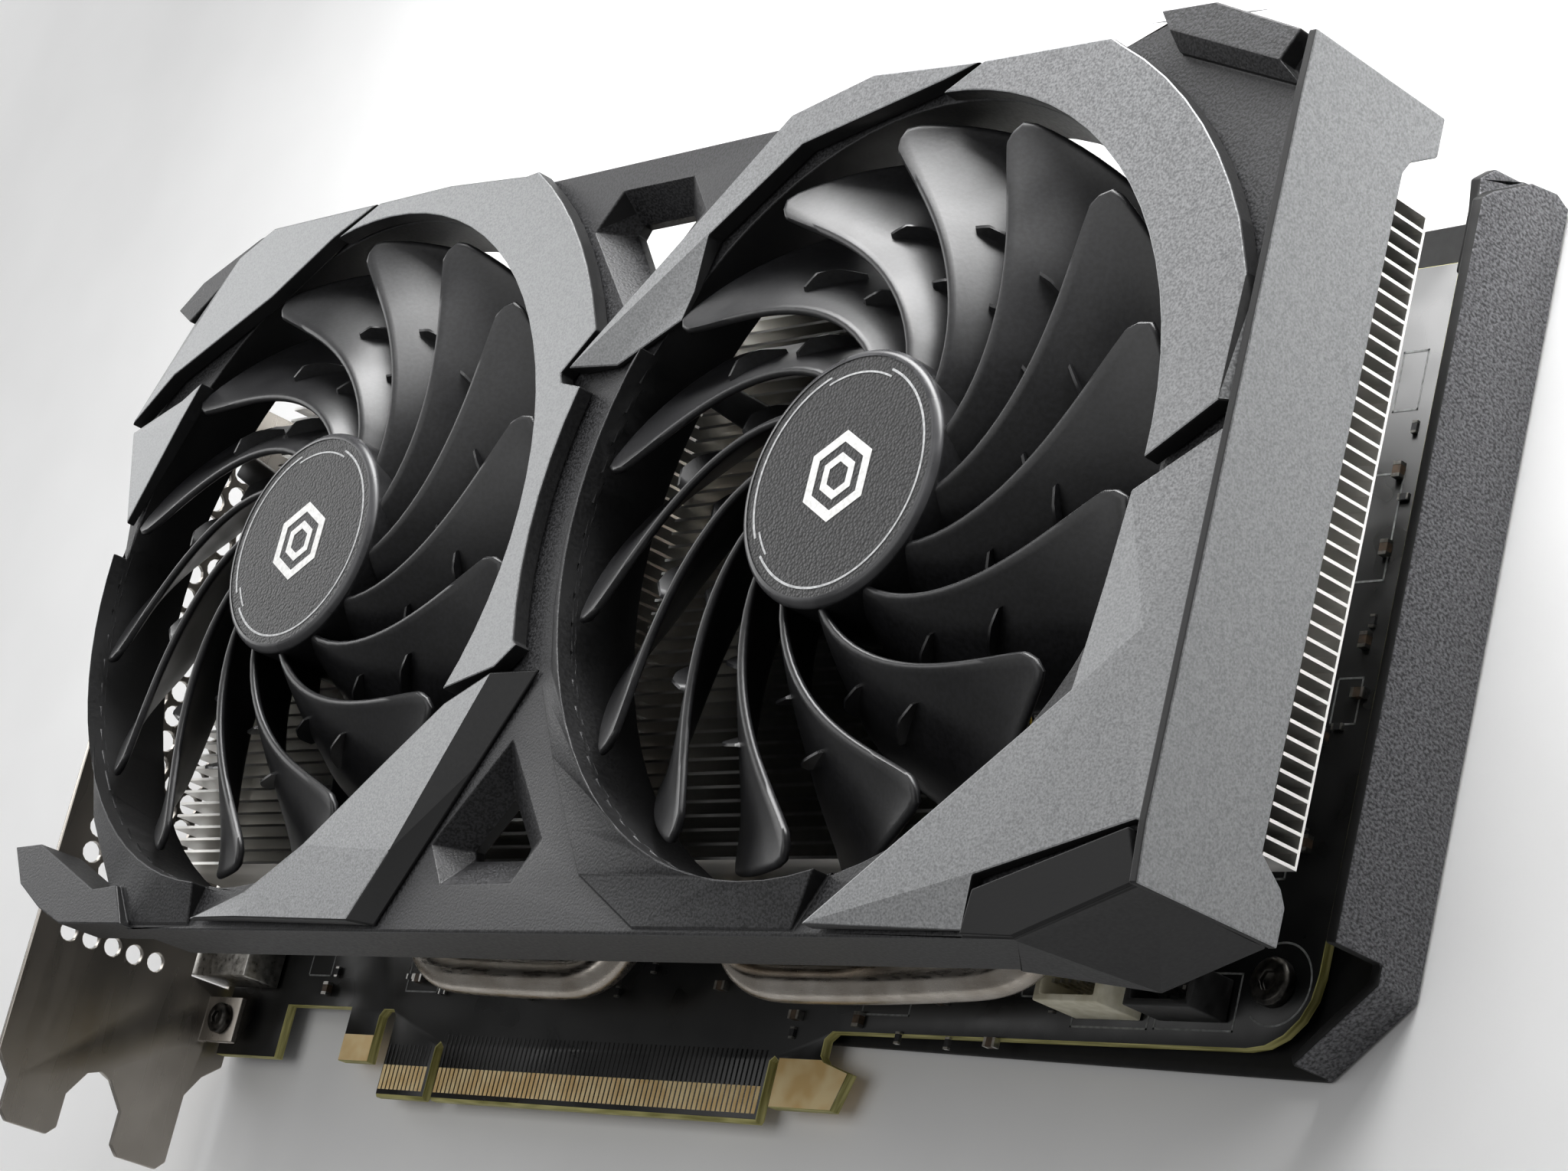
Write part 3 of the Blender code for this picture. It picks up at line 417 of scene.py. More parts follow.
def rolled_aluminium():
    """Bare rolled aluminium sheet for fins: bright cut edges, faint rolling lines along the sheet."""
    material, tree, shader = new_material("rolled_aluminium", Metallic=1.0, Roughness=0.36)
    lines = noise(tree, 3.0, 1.0, (0.1, 1.0, 1.0))
    blend_colours(tree, shader, lines, "#efeeea", "#f8f6f2")
    vary(tree, shader, "Roughness", lines, 0.32, 0.4)
    return material


def black_solder_mask():
    """Gloss black solder mask over copper: inky, with wide low hills where copper planes lie under it."""
    material, tree, shader = new_material("black_solder_mask", Roughness=0.3, IOR=1.5)
    planes = noise(tree, 7.0, 1.0)
    inputs = {"Vector": place(tree), "Scale": 1 / (9.0 * MM), "Distortion": 0.0}
    weave = add(tree, "ShaderNodeTexWave", inputs)
    blend_colours(tree, shader, planes, "#050606", "#0a0b0b", 0.45, 0.55)
    vary(tree, shader, "Roughness", planes, 0.24, 0.4)
    bump(tree, shader, weave.outputs["Fac"], 0.006, 0.4)
    return material


def glass_epoxy_edge():
    """The routed edge of glass-epoxy laminate: translucent yellow-green with darker layers of glass cloth."""
    material, tree, shader = new_material("glass_epoxy_edge", Roughness=0.55)
    layers = noise(tree, 0.5, 1.0, (0.08, 0.08, 1.0))
    blend_colours(tree, shader, layers, "#8f8a4a", "#c9c27e")
    bump(tree, shader, layers, 0.02, 0.5)
    return material


def hard_gold_plate():
    """Hard gold on nickel, as on edge contacts: a pale satin gold, faintly cloudy where a socket rubbed."""
    material, tree, shader = new_material("hard_gold_plate", Metallic=0.35, Roughness=0.4)
    clouds = noise(tree, 3.0, 1.0)
    blend_colours(tree, shader, clouds, "#f0cc8c", "#fbe3ae")
    vary(tree, shader, "Roughness", clouds, 0.3, 0.4)
    return material


def leather_grain_coat():
    """Backplate in grey powder coat with a leather texture: short ridges about 0.5 mm across, satin, so that
    each ridge catches its own light; the colour is lighter on the ridges as painted highlight and darker in
    the valleys as painted shade."""
    material, tree, shader = new_material("leather_grain_coat", Metallic=0.3, Roughness=0.42, IOR=1.5)
    ridges = noise(tree, 0.5, 1.5, (1.0, 1.5, 1.0))
    # painted highlight on the ridges, painted shade in the valleys
    blend_colours(tree, shader, ridges, "#2b2b2d", "#69696c", 0.34, 0.66)
    vary(tree, shader, "Roughness", ridges, 0.5, 0.36)
    bump(tree, shader, ridges, 0.12, 0.9)
    return material


def black_film_inside():
    """The backplate's inner face and folded edge: a thin black film over sheet, dull and even."""
    material, tree, shader = new_material("black_film", Roughness=0.6, IOR=1.45)
    film = noise(tree, 2.0, 1.0)
    blend_colours(tree, shader, film, "#060606", "#0c0c0c")
    vary(tree, shader, "Roughness", film, 0.55, 0.7)
    return material


def nickel_plated_steel():
    """Pressed steel in dull nickel: a warm grey metal with long faint rolling streaks and cloudy shine."""
    material, tree, shader = new_material("nickel_plated_steel", Metallic=0.85, Roughness=0.3)
    clouds = noise(tree, 12.0, 2.0)
    streaks = noise(tree, 2.5, 1.0, (1.0, 0.1, 1.0))
    blend_colours(tree, shader, clouds, "#a7a199", "#b9b3ab")
    vary(tree, shader, "Roughness", streaks, 0.24, 0.32)
    return material


def tin_plated_steel():
    """Tin-plated port shells: a whiter, softer metal with a fine crystal mottle."""
    material, tree, shader = new_material("tin_plated_steel", Metallic=1.0, Roughness=0.32)
    crystals = noise(tree, 0.8, 3.0)
    blend_colours(tree, shader, crystals, "#a3a19c", "#c9c7c2")
    vary(tree, shader, "Roughness", crystals, 0.26, 0.42)
    return material


def black_oxide_steel():
    """Blackened steel screws: near-black metal with brighter worn patches."""
    material, tree, shader = new_material("black_oxide_steel", Metallic=1.0, Roughness=0.38)
    wear = noise(tree, 1.2, 3.0)
    blend_colours(tree, shader, wear, "#2c2b2a", "#5b5854")
    vary(tree, shader, "Roughness", wear, 0.3, 0.46)
    return material


def ground_steel():
    """Ground steel shafts: bright, with fine rings from the grinding wheel."""
    material, tree, shader = new_material("ground_steel", Metallic=1.0, Roughness=0.2)
    rings = noise(tree, 0.5, 1.0, (0.1, 0.1, 1.0))
    blend_colours(tree, shader, rings, "#b9b9b7", "#d9d9d6")
    vary(tree, shader, "Roughness", rings, 0.14, 0.28)
    return material


def moulded_nylon(name, dark, light):
    """Glass-filled nylon for connectors: a dull waxy plastic, clouded by flow lines near the gate."""
    material, tree, shader = new_material(name, Roughness=0.5, IOR=1.53)
    flow = noise(tree, 1.5, 2.0)
    blend_colours(tree, shader, flow, dark, light)
    vary(tree, shader, "Roughness", flow, 0.42, 0.58)
    bump(tree, shader, noise(tree, 0.5, 1.0), 0.01, 0.4)
    return material


def moulded_epoxy():
    """Chip packages of black moulding epoxy: dead matt, with a fine sandy grain."""
    material, tree, shader = new_material("moulded_epoxy", Roughness=0.68)
    sand = noise(tree, 0.5, 2.0)
    blend_colours(tree, shader, sand, "#1b1b1c", "#29292a")
    bump(tree, shader, sand, 0.02, 0.5)
    return material


def tinned_copper():
    """Solder-dipped ends and pins: soft bright tin, lumpy where it froze."""
    material, tree, shader = new_material("tinned_copper", Metallic=1.0, Roughness=0.3)
    lumps = noise(tree, 0.6, 1.0)
    blend_colours(tree, shader, lumps, "#b7b6b2", "#dcdbd6")
    bump(tree, shader, lumps, 0.04, 0.4)
    return material


def ceramic_capacitor():
    """Fired ceramic bodies of small capacitors: a chalky brown-beige."""
    material, tree, shader = new_material("ceramic_capacitor", Roughness=0.6)
    fired = noise(tree, 0.8, 2.0)
    blend_colours(tree, shader, fired, "#3f3327", "#5a4938")
    return material


def enamelled_copper():
    """Wound copper wire under clear enamel: warm bands, one wire beside the next, drawn 0.6 mm apart, and
    darkened between neighbouring wires as painted shade.
    """
    material, tree, shader = new_material("enamelled_copper", Metallic=1.0, Roughness=0.3)
    inputs = {"Vector": place(tree), "Scale": 1 / (9.4 * MM)}
    winding = add(tree, "ShaderNodeTexWave", inputs, bands_direction="Z").outputs["Fac"]
    # painted shade: the copper darkens in the grooves between neighbouring wires
    blend_colours(tree, shader, winding, "#6e3a1c", "#c67c48", 0.2, 0.8)
    bump(tree, shader, winding, 0.15, 0.8)
    return material


def sintered_bronze():
    """Oil-filled sintered bronze: a dull brown-gold metal, pitted all over."""
    material, tree, shader = new_material("sintered_bronze", Metallic=1.0, Roughness=0.45)
    pits = noise(tree, 0.5, 3.0)
    blend_colours(tree, shader, pits, "#6b5230", "#a3824e")
    bump(tree, shader, pits, 0.04, 0.6)
    return material


def extruded_pvc(name, dark, light):
    """Extruded PVC insulation: smooth and slightly glossy, with a faint cloudiness."""
    material, tree, shader = new_material(name, Roughness=0.38, IOR=1.53)
    clouds = noise(tree, 2.5, 1.0)
    blend_colours(tree, shader, clouds, dark, light)
    return material


def studio_paper():
    """Seamless white background paper: matt, with a barely visible mottle."""
    material, tree, shader = new_material("studio_paper", Roughness=0.9)
    mottle = noise(tree, 30.0, 2.0)
    blend_colours(tree, shader, mottle, "#f4f4f4", "#f8f8f8")
    return material


DARK_ABS = spark_eroded_abs()
PAINTED_SHADE_ABS = smooth_black_abs()
SILVER = metallic_flake_paint()
BLADE_PLASTIC = glass_filled_pbt()
HUB_PLASTIC = polished_pbt()
LABEL = pebbled_polyester_film()
SILVER_INK = screen_ink("silver_screen_ink", "#c9cacb", "#a6a7a8")
WHITE_INK = screen_ink("white_screen_ink", "#f4f4f2", "#dcdcda")
FAINT_INK = screen_ink("worn_white_screen_ink", "#8d8f8e", "#6d6f6e")
NICKEL = nickel_plated_copper()
ALUMINIUM = rolled_aluminium()
SOLDER_MASK = black_solder_mask()
LAMINATE = glass_epoxy_edge()
GOLD = hard_gold_plate()
LEATHER_COAT = leather_grain_coat()
BLACK_FILM = black_film_inside()
BRACKET_STEEL = nickel_plated_steel()
PORT_STEEL = tin_plated_steel()
SCREW_STEEL = black_oxide_steel()
SHAFT_STEEL = ground_steel()
BLACK_NYLON = moulded_nylon("black_glass_filled_nylon", "#141414", "#212121")
IVORY_NYLON = moulded_nylon("ivory_nylon", "#d8d2b8", "#ece7d2")
EPOXY = moulded_epoxy()
TIN = tinned_copper()
CERAMIC = ceramic_capacitor()
COPPER_COIL = enamelled_copper()
BRONZE = sintered_bronze()
YELLOW_PVC = extruded_pvc("yellow_pvc", "#c9a41e", "#e3c136")
BLACK_PVC = extruded_pvc("black_pvc", "#151515", "#222222")


# ---- growing repeated things with Geometry Nodes ------------------------------------------------


def new_tree(name, **inputs):
    """A geometry tree with its named inputs, its group input and a closing function."""
    tree = bpy.data.node_groups.new(name, "GeometryNodeTree")
    tree.interface.new_socket("Geometry", in_out="OUTPUT", socket_type="NodeSocketGeometry")
    tree.interface.new_socket("Geometry", in_out="INPUT", socket_type="NodeSocketGeometry")
    for label, kind in inputs.items():
        tree.interface.new_socket(label, in_out="INPUT", socket_type=kind)
    tree.interface.new_socket("Material", in_out="INPUT", socket_type="NodeSocketMaterial")
    return tree, add(tree, "NodeGroupInput").outputs


def close_tree(tree, geometry, given):
    """Realizes the instances and sets the material, which every tree ends with."""
    real = add(tree, "GeometryNodeRealizeInstances", {"Geometry": geometry}).outputs[0]
    done = add(tree, "GeometryNodeSetMaterial", {"Geometry": real, "Material": given["Material"]}).outputs[0]
    add(tree, "NodeGroupOutput", {"Geometry": done})
    return tree


def ring_tree():
    """Copies a shape round an upright axis."""
    tree, given = new_tree("ring_of_copies", Count="NodeSocketInt", Centre="NodeSocketVector")
    centre, count = given["Centre"], given["Count"]
    home = add(tree, "ShaderNodeVectorMath", {0: centre, "Scale": -1.0}, operation="SCALE").outputs[0]
    inputs = {"Geometry": given["Geometry"], "Translation": home}
    shape = add(tree, "GeometryNodeTransform", inputs).outputs[0]
    points = add(tree, "GeometryNodePoints", {"Count": count, "Position": centre}).outputs[0]
    index = add(tree, "GeometryNodeInputIndex").outputs[0]
    step = add(tree, "ShaderNodeMath", {0: 2 * pi, 1: count}, operation="DIVIDE").outputs[0]
    turn = add(tree, "ShaderNodeMath", {0: index, 1: step}, operation="MULTIPLY").outputs[0]
    rotation = add(tree, "ShaderNodeCombineXYZ", {"Z": turn}).outputs[0]
    copies = add(tree, "GeometryNodeInstanceOnPoints",
                 {"Points": points, "Instance": shape, "Rotation": rotation}).outputs[0]
    return close_tree(tree, copies, given)


def row_tree():
    """Copies a shape along a straight step."""
    tree, given = new_tree("row_of_copies", Count="NodeSocketInt", Step="NodeSocketVector")
    index = add(tree, "GeometryNodeInputIndex").outputs[0]
    inputs = {0: given["Step"], "Scale": index}
    place_at = add(tree, "ShaderNodeVectorMath", inputs, operation="SCALE").outputs[0]
    points = add(tree, "GeometryNodePoints", {"Count": given["Count"]}).outputs[0]
    moved = add(tree, "GeometryNodeSetPosition", {"Geometry": points, "Position": place_at}).outputs[0]
    copies = add(tree, "GeometryNodeInstanceOnPoints",
                 {"Points": moved, "Instance": given["Geometry"]}).outputs[0]
    return close_tree(tree, copies, given)


def comb_tree():
    """Six-sided rods on a staggered grid across y and z, as cutters for a perforated sheet."""
    tree, given = new_tree("staggered_rods", Columns="NodeSocketInt", Rows="NodeSocketInt",
                           Pitch="NodeSocketFloat", Radius="NodeSocketFloat", Length="NodeSocketFloat",
                           Corner="NodeSocketVector")
    inputs = {0: given["Columns"], 1: given["Rows"]}
    total = add(tree, "ShaderNodeMath", inputs, operation="MULTIPLY").outputs[0]
    index = add(tree, "GeometryNodeInputIndex").outputs[0]
    ratio = add(tree, "ShaderNodeMath", {0: index, 1: given["Columns"]}, operation="DIVIDE").outputs[0]
    line = add(tree, "ShaderNodeMath", {0: ratio}, operation="FLOOR").outputs[0]
    column = add(tree, "ShaderNodeMath", {0: index, 1: given["Columns"]}, operation="MODULO").outputs[0]
    odd = add(tree, "ShaderNodeMath", {0: line, 1: 2.0}, operation="MODULO").outputs[0]
    shift = add(tree, "ShaderNodeMath", {0: odd, 1: 0.5, 2: column}, operation="MULTIPLY_ADD").outputs[0]
    across = add(tree, "ShaderNodeMath", {0: shift, 1: given["Pitch"]}, operation="MULTIPLY").outputs[0]
    drop = add(tree, "ShaderNodeMath", {0: line, 1: sqrt(3) / 2}, operation="MULTIPLY").outputs[0]
    up = add(tree, "ShaderNodeMath", {0: drop, 1: given["Pitch"]}, operation="MULTIPLY").outputs[0]
    offset = add(tree, "ShaderNodeCombineXYZ", {"Y": across, "Z": up}).outputs[0]
    spot = add(tree, "ShaderNodeVectorMath", {0: given["Corner"], 1: offset}, operation="ADD").outputs[0]
    points = add(tree, "GeometryNodePoints", {"Count": total}).outputs[0]
    moved = add(tree, "GeometryNodeSetPosition", {"Geometry": points, "Position": spot}).outputs[0]
    rod = add(tree, "GeometryNodeMeshCylinder",
              {"Vertices": 12, "Radius": given["Radius"], "Depth": given["Length"]}).outputs[0]
    copies = add(tree, "GeometryNodeInstanceOnPoints",
                 {"Points": moved, "Instance": rod, "Rotation": (0.0, pi / 2, 0.0)}).outputs[0]
    return close_tree(tree, copies, given)


def scatter_tree():
    """Strews a shape over a patch, square to it, with a fixed seed and a least distance."""
    tree, given = new_tree("strewn_parts", Distance="NodeSocketFloat", Density="NodeSocketFloat",
                           Seed="NodeSocketInt", Shape="NodeSocketObject")
    inputs = {"Mesh": given["Geometry"], "Distance Min": given["Distance"], "Density Max": given["Density"],
              "Seed": given["Seed"]}
    points = add(tree, "GeometryNodeDistributePointsOnFaces", inputs, distribute_method="POISSON").outputs[0]
    inputs = {4: 0, 5: 1, "Seed": given["Seed"]}
    quarter = add(tree, "FunctionNodeRandomValue", inputs, data_type="INT").outputs[2]
    turn = add(tree, "ShaderNodeMath", {0: quarter, 1: pi / 2}, operation="MULTIPLY").outputs[0]
    rotation = add(tree, "ShaderNodeCombineXYZ", {"Z": turn}).outputs[0]
    shape = add(tree, "GeometryNodeObjectInfo", {"Object": given["Shape"]}).outputs["Geometry"]
    copies = add(tree, "GeometryNodeInstanceOnPoints",
                 {"Points": points, "Instance": shape, "Rotation": rotation}).outputs[0]
    return close_tree(tree, copies, given)


RING, ROW, COMB, SCATTER = ring_tree(), row_tree(), comb_tree(), scatter_tree()


def grown(name, mesh, tree, material, **inputs):
    """Runs a tree on a mesh and keeps the result as a plain mesh."""
    item = linked(name, mesh)
    step = item.modifiers.new("grow", "NODES")
    step.node_group = tree
    inlets = [socket for socket in tree.interface.items_tree if socket.in_out == "INPUT"]
    sockets = {socket.name: socket.identifier for socket in inlets}
    for label, value in {**inputs, "Material": material}.items():
        step[sockets[label]] = value
    return settled(item)


def row_of(name, mesh, count, step, material, body="card"):
    """A straight row of copies, drafted in millimetres."""
    item = grown(name, mesh, ROW, material, Count=count, Step=[value * MM for value in step])
    return show(item, None, body)


# ---- fans --------------------------------------------------------------------------------------
BLADES, FIRST_BLADE = 14, 72.7
ROOT_R, TIP_R, HUB_R = 15.8, 48.8, 16.9
BLADE_ROOT_AT = 16.1
SWEEP, SWEEP_CURVE, CHORD = 56.0, 1.55, 30.0
LEAD_Z, TRAIL_Z, CROWN = 44.1, 31.4, 1.2
BLADE_T = 1.15
ALONG, ACROSS = 30, 16
RIDGES = ((34.0, 0.30, 0.66), (26.5, 0.36, 0.80))   # radius, and its start and end along the chord
RIDGE_W, RIDGE_H = 0.6, 1.9
PRINTED_Z = (45.29, 45.36)


def blade_point(radius, u):
    """A point on the blade's middle surface: radius, and share of the chord from the leading edge."""
    s = (radius - BLADE_ROOT_AT) / (TIP_R - BLADE_ROOT_AT)
    swept = max(0.0, 1 - s) ** SWEEP_CURVE if s >= 0 else 1 - SWEEP_CURVE * s
    turn = radians(FIRST_BLADE - SWEEP * swept - CHORD * u)
    level = LEAD_Z + (TRAIL_Z - LEAD_Z) * u + CROWN * sin(pi * u)
    return Vector((radius * cos(turn), radius * sin(turn), level))


def tip_radius(u):
    """The outer end is rounded towards both edges."""
    front = 4.0 * max(0.0, 1 - u / 0.12) ** 2
    back = 3.0 * max(0.0, (u - 0.85) / 0.15) ** 2
    return TIP_R - front - back


def blade_frame(radius, u):
    """Middle point and unit normal, pointing forward."""
    step = 0.01
    here = blade_point(radius, u)
    out = blade_point(radius + step * 10, u) - here
    along = blade_point(radius, u + step) - here
    normal = out.cross(along).normalized()
    return here, normal if normal.z > 0 else -normal


def edge_share(distance, roundness=0.75):
    """Thickness share near a rounded edge, from the distance to it in millimetres."""
    if distance >= roundness:
        return 1.0
    return sqrt(max(0.0, 1 - (1 - distance / roundness) ** 2))


def blade(axis):
    """One swept blade, thin, with rounded edges, its surfaces meeting at the rim."""
    shares = [0.5 - 0.5 * cos(pi * k / ACROSS) for k in range(ACROSS + 1)]
    lengths = [sin(pi / 2 * k / ALONG) ** 0.85 for k in range(ALONG + 1)]
    vertices, faces = [], []
    for side in (1, -1):
        for length in lengths:
            for u in shares:
                end = tip_radius(u)
                radius = ROOT_R + (end - ROOT_R) * length
                here, normal = blade_frame(radius, u)
                chord = radians(CHORD) * radius
                near = min(u * chord * 1.2, (1 - u) * chord * 1.2, end - radius)
                point = here + normal * side * BLADE_T / 2 * edge_share(near)
                vertices.append((axis.x + point.x, axis.y + point.y, point.z))
    wide = ACROSS + 1
    half = wide * (ALONG + 1)
    for i in range(ALONG):
        for j in range(ACROSS):
            a = i * wide + j
            faces.append((a, a + 1, a + wide + 1, a + wide))
            faces.append((half + a, half + a + wide, half + a + wide + 1, half + a + 1))
    faces += [(j, half + j, half + j + 1, j + 1) for j in range(ACROSS)]
    return closed(vertices, faces)


def ridge(axis, radius, start, stop):
    """A low rib on the blade's front, along the air's way."""
    steps, half, height, sunk = 8, RIDGE_W / 2, RIDGE_H, -0.3
    vertices = []
    for index in range(steps + 1):
        share = index / steps
        u = start + (stop - start) * index / steps
        rise = height * min(1.0, 0.35 + 2.6 * share) * min(1.0, 0.3 + 1.6 * (1 - share))
        for offset, lift in ((-half, sunk), (half, sunk), (half / 2, rise), (-half / 2, rise)):
            here, normal = blade_frame(radius + offset, u)
            point = here + normal * (BLADE_T / 2 + lift)
            vertices.append((axis.x + point.x, axis.y + point.y, point.z))
    return closed(vertices, bar_faces(steps, True))


def hub_profile():
    """The cup from its inside, over its rim and face, down to the label's seat."""
    rim = [(HUB_R - 1.7, 43.4), (HUB_R - 1.7, 30.3), (HUB_R - 0.2, 30.3), (HUB_R, 30.5)]
    shoulder = [(HUB_R - 1.2 + 1.2 * cos(turn), FRONT_Z - 1.2 + 1.2 * sin(turn))
                for turn in (radians(15 * step) for step in range(7))]
    seat = [(16.05, FRONT_Z - 0.05), (16.0, 44.6), (0, 44.6)]
    return [(0, 43.4)] + rim + shoulder + seat


def hexagon(centre, radius, width):
    """A hexagonal ring, printed."""
    return sector(centre, radius - width, radius, 30, 390, *PRINTED_Z, 6)


def label_marks(axis):
    """Printed ring lines with a stepped break at the top and the bottom."""
    lines = [(14.3, 14.6, 112, 210), (14.3, 14.6, 222, 428), (13.5, 13.75, 66, 114), (13.5, 13.75, 208, 224)]
    return joined(*[sector(axis, *line, *PRINTED_Z, 60) for line in lines])


def make_fan(side):
    axis, body = FAN_AXIS[side], f"fan_{side}"
    turned_hub = linked(f"fan_hub_{side}", turned(hub_profile(), axis))
    show(turned_hub, HUB_PLASTIC, body, [f"fan_rotor_{side}"], 40)
    # Painted sheen: the hub's forward-facing faces take the lighter grey, its other faces the blade plastic's
    # own colour.
    turned_hub.data.materials.append(BLADE_PLASTIC)
    for face in turned_hub.data.polygons:
        face.material_index = 0 if face.normal.z > 0.3 else 1
    one = joined(blade(axis), *[ridge(axis, *place_on) for place_on in RIDGES])
    blades = grown(f"fan_blades_{side}", one, RING, BLADE_PLASTIC, Count=BLADES, Centre=at(axis.x, axis.y, 0))
    show(blades, None, body, [f"fan_rotor_{side}"], 50)
    face = [(0, 44.9), (15.7, 44.9), (15.86, 45.0), (15.86, 45.2), (15.76, 45.3), (0, 45.3)]
    film = linked(f"hub_film_{side}", turned(face, axis))
    show(film, LABEL, body, [f"hub_label_{side}"])
    show(linked(f"hub_lines_{side}", label_marks(axis)), SILVER_INK, body)
    mark = joined(hexagon(axis, 6.0, 1.5), hexagon(axis, 3.1, 1.2))
    show(linked(f"hub_mark_{side}", mark), WHITE_INK, body)
    paint_node(f"fan_shaft_{side}", SHAFT_STEEL)
    paint_node(f"fan_bearing_{side}", BRONZE)
    paint_node(f"fan_stator_{side}", COPPER_COIL)
    refined(f"fan_carrier_{side}", BLADE_PLASTIC)


for fan_side in SIDES:
    make_fan(fan_side)


# ---- shroud, trims and tail cap ------------------------------------------------------------------
FORWARD, TAILWARD = (0, 0, 1), (1, 0, 0)
LOW_CORNER = (148.0, 26.0)          # the block at the lower tail corner, tailward of x and below y
# Painted shade: the shroud's faces not turned forward, its side walls and duct walls, take the near-black
# shade material.
shell = painted_front("shroud", DARK_ABS, PAINTED_SHADE_ABS, FORWARD, 0.3, width=0.2, smooth=14)
# Painted shade: every face of the block at the lower tail corner, its front too, takes the near-black shade
# material.
for face in shell.data.polygons:
    spot = drafted(face.center)
    if spot.x > LOW_CORNER[0] and spot.y < LOW_CORNER[1]:
        face.material_index = 1
# Painted shade: each trim's faces not turned forward take the near-black shade material instead of silver; on
# the left diagonal trim only faces turned squarely forward stay silver, so its sloping facets are painted
# shade too.
for trim in sorted(node for node in frame["nodes"] if node.startswith("trim_")):
    least = 0.97 if trim == "trim_left_diagonal" else 0.6
    painted_front(trim, SILVER, PAINTED_SHADE_ABS, FORWARD, least, width=0.22, smooth=7)
# Painted shade: the tail cap's faces not turned tailward take the near-black shade material instead of
# silver.
painted_front("tail_cap", SILVER, PAINTED_SHADE_ABS, TAILWARD, 0.6, width=0.25, smooth=7)


# ---- heat pipes and fins -------------------------------------------------------------------------
def smooth_pipe(node):
    """A bent pipe with its faceted skin rounded."""
    item = linked(f"{node}_finished", merged_copy(node, 0.1))
    build = bmesh.new()
    build.from_mesh(item.data)
    bmesh.ops.join_triangles(build, faces=[face for face in build.faces if len(face.verts) == 3],
                             angle_face_threshold=radians(40), angle_shape_threshold=radians(60))
    build.to_mesh(item.data)
    build.free()
    skin = item.modifiers.new("skin", "SUBSURF")
    skin.levels = skin.render_levels = 2
    settled(item)
    return show(item, NICKEL, "card", [node], 80)


for pipe in sorted(node for node in frame["nodes"] if node.startswith("heat_pipe")):
    smooth_pipe(pipe)
for fins in ("fin_stack_left", "fin_stack_right"):
    paint_node(fins, ALUMINIUM)
refined("cold_plate", NICKEL)


# ---- circuit board -------------------------------------------------------------------------------
FINGER_PITCH, FINGER_W, FINGER_T = 1.0, 0.7, 0.05
FINGERS_BEFORE_KEY, FINGERS_AFTER_KEY = 11, 71
FIRST_BEFORE, FIRST_AFTER = -12.0, 1.65
INK_T = 0.04


def make_board():
    """The board: solder mask on both faces, bare laminate round its edge."""
    item = softened(linked("circuit_board_finished", merged_copy("circuit_board")), 0.08, 1)
    show(item, None, "card", ["circuit_board"])
    item.data.materials.clear()
    item.data.materials.append(SOLDER_MASK)
    item.data.materials.append(LAMINATE)
    for face in item.data.polygons:
        face.material_index = 0 if abs(face.normal.z) > 0.9 else 1


def make_fingers():
    """Gold contacts on both faces of the tongue, with the bare gold pads at its two ends."""
    faces = (("front", 0.0, FINGER_T), ("rear", BOARD_REAR - FINGER_T, BOARD_REAR))
    groups = (("short", FIRST_BEFORE, FINGERS_BEFORE_KEY), ("long", FIRST_AFTER, FINGERS_AFTER_KEY))
    for face, low, high in faces:
        for group, start, count in groups:
            contact = box((start - FINGER_W / 2, 1.2, low), (start + FINGER_W / 2, 4.9, high))
            row_of(f"gold_fingers_{group}_{face}", contact, count, (FINGER_PITCH, 0, 0), GOLD)
            track = box((start - 0.14, 4.9, low), (start + 0.14, 9.8 if group == "long" else 8.0, high))
            row_of(f"finger_tracks_{group}_{face}", track, count, (FINGER_PITCH, 0, 0), SOLDER_MASK)
        lock = plate([(-24.3, 5.2), (-16.9, 5.2), (-16.9, 9.2), (-24.3, 9.2)], low, high)
        outline = [(74.4, 2.3), (86.3, 2.3), (88.0, 7.2), (83.0, 8.5), (82.6, 8.8), (74.4, 8.8)]
        hook = plate(outline, low, high)
        show(linked(f"gold_pads_{face}", joined(lock, hook)), GOLD, "card")


def frame_lines(low, high, width=0.25):
    """A printed rectangle outline on the board, as four strips."""
    (x0, y0), (x1, y1) = low, high
    sides = [((x0, y0), (x1, y0 + width)), ((x0, y1 - width), (x1, y1)), ((x0, y0), (x0 + width, y1)),
             ((x1 - width, y0), (x1, y1))]
    return [box((*a, 0.0), (*b, INK_T)) for a, b in sides]


def make_print():
    """Screen-printed outlines round the soldered parts, plain guide marks and the screw's ring."""
    strips = []
    for node in ("fan_header", "aux_header"):
        low, high = (drafted(corner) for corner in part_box(node))
        strips += frame_lines((low.x - 1.0, low.y - 1.0), (high.x + 1.0, high.y + 1.0))
    for low, high in (((116, 18), (122, 24)), ((151, 33), (155, 46)), ((157, 52), (161, 58)),
                      ((156, 70), (161, 84)), ((-38, 18), (-32, 26)), ((-12, 16), (-4, 21)),
                      ((88, 15), (97, 19)), ((157, 92), (161, 100))):
        strips += frame_lines(low, high)
    show(linked("board_print", joined(*strips)), FAINT_INK, "card")
    screw = middle("board_screw")
    ring = sector(screw, 4.9, 5.15, -130, 120, 0.0, INK_T, 48)
    show(linked("screw_hole_print", ring), FAINT_INK, "card")


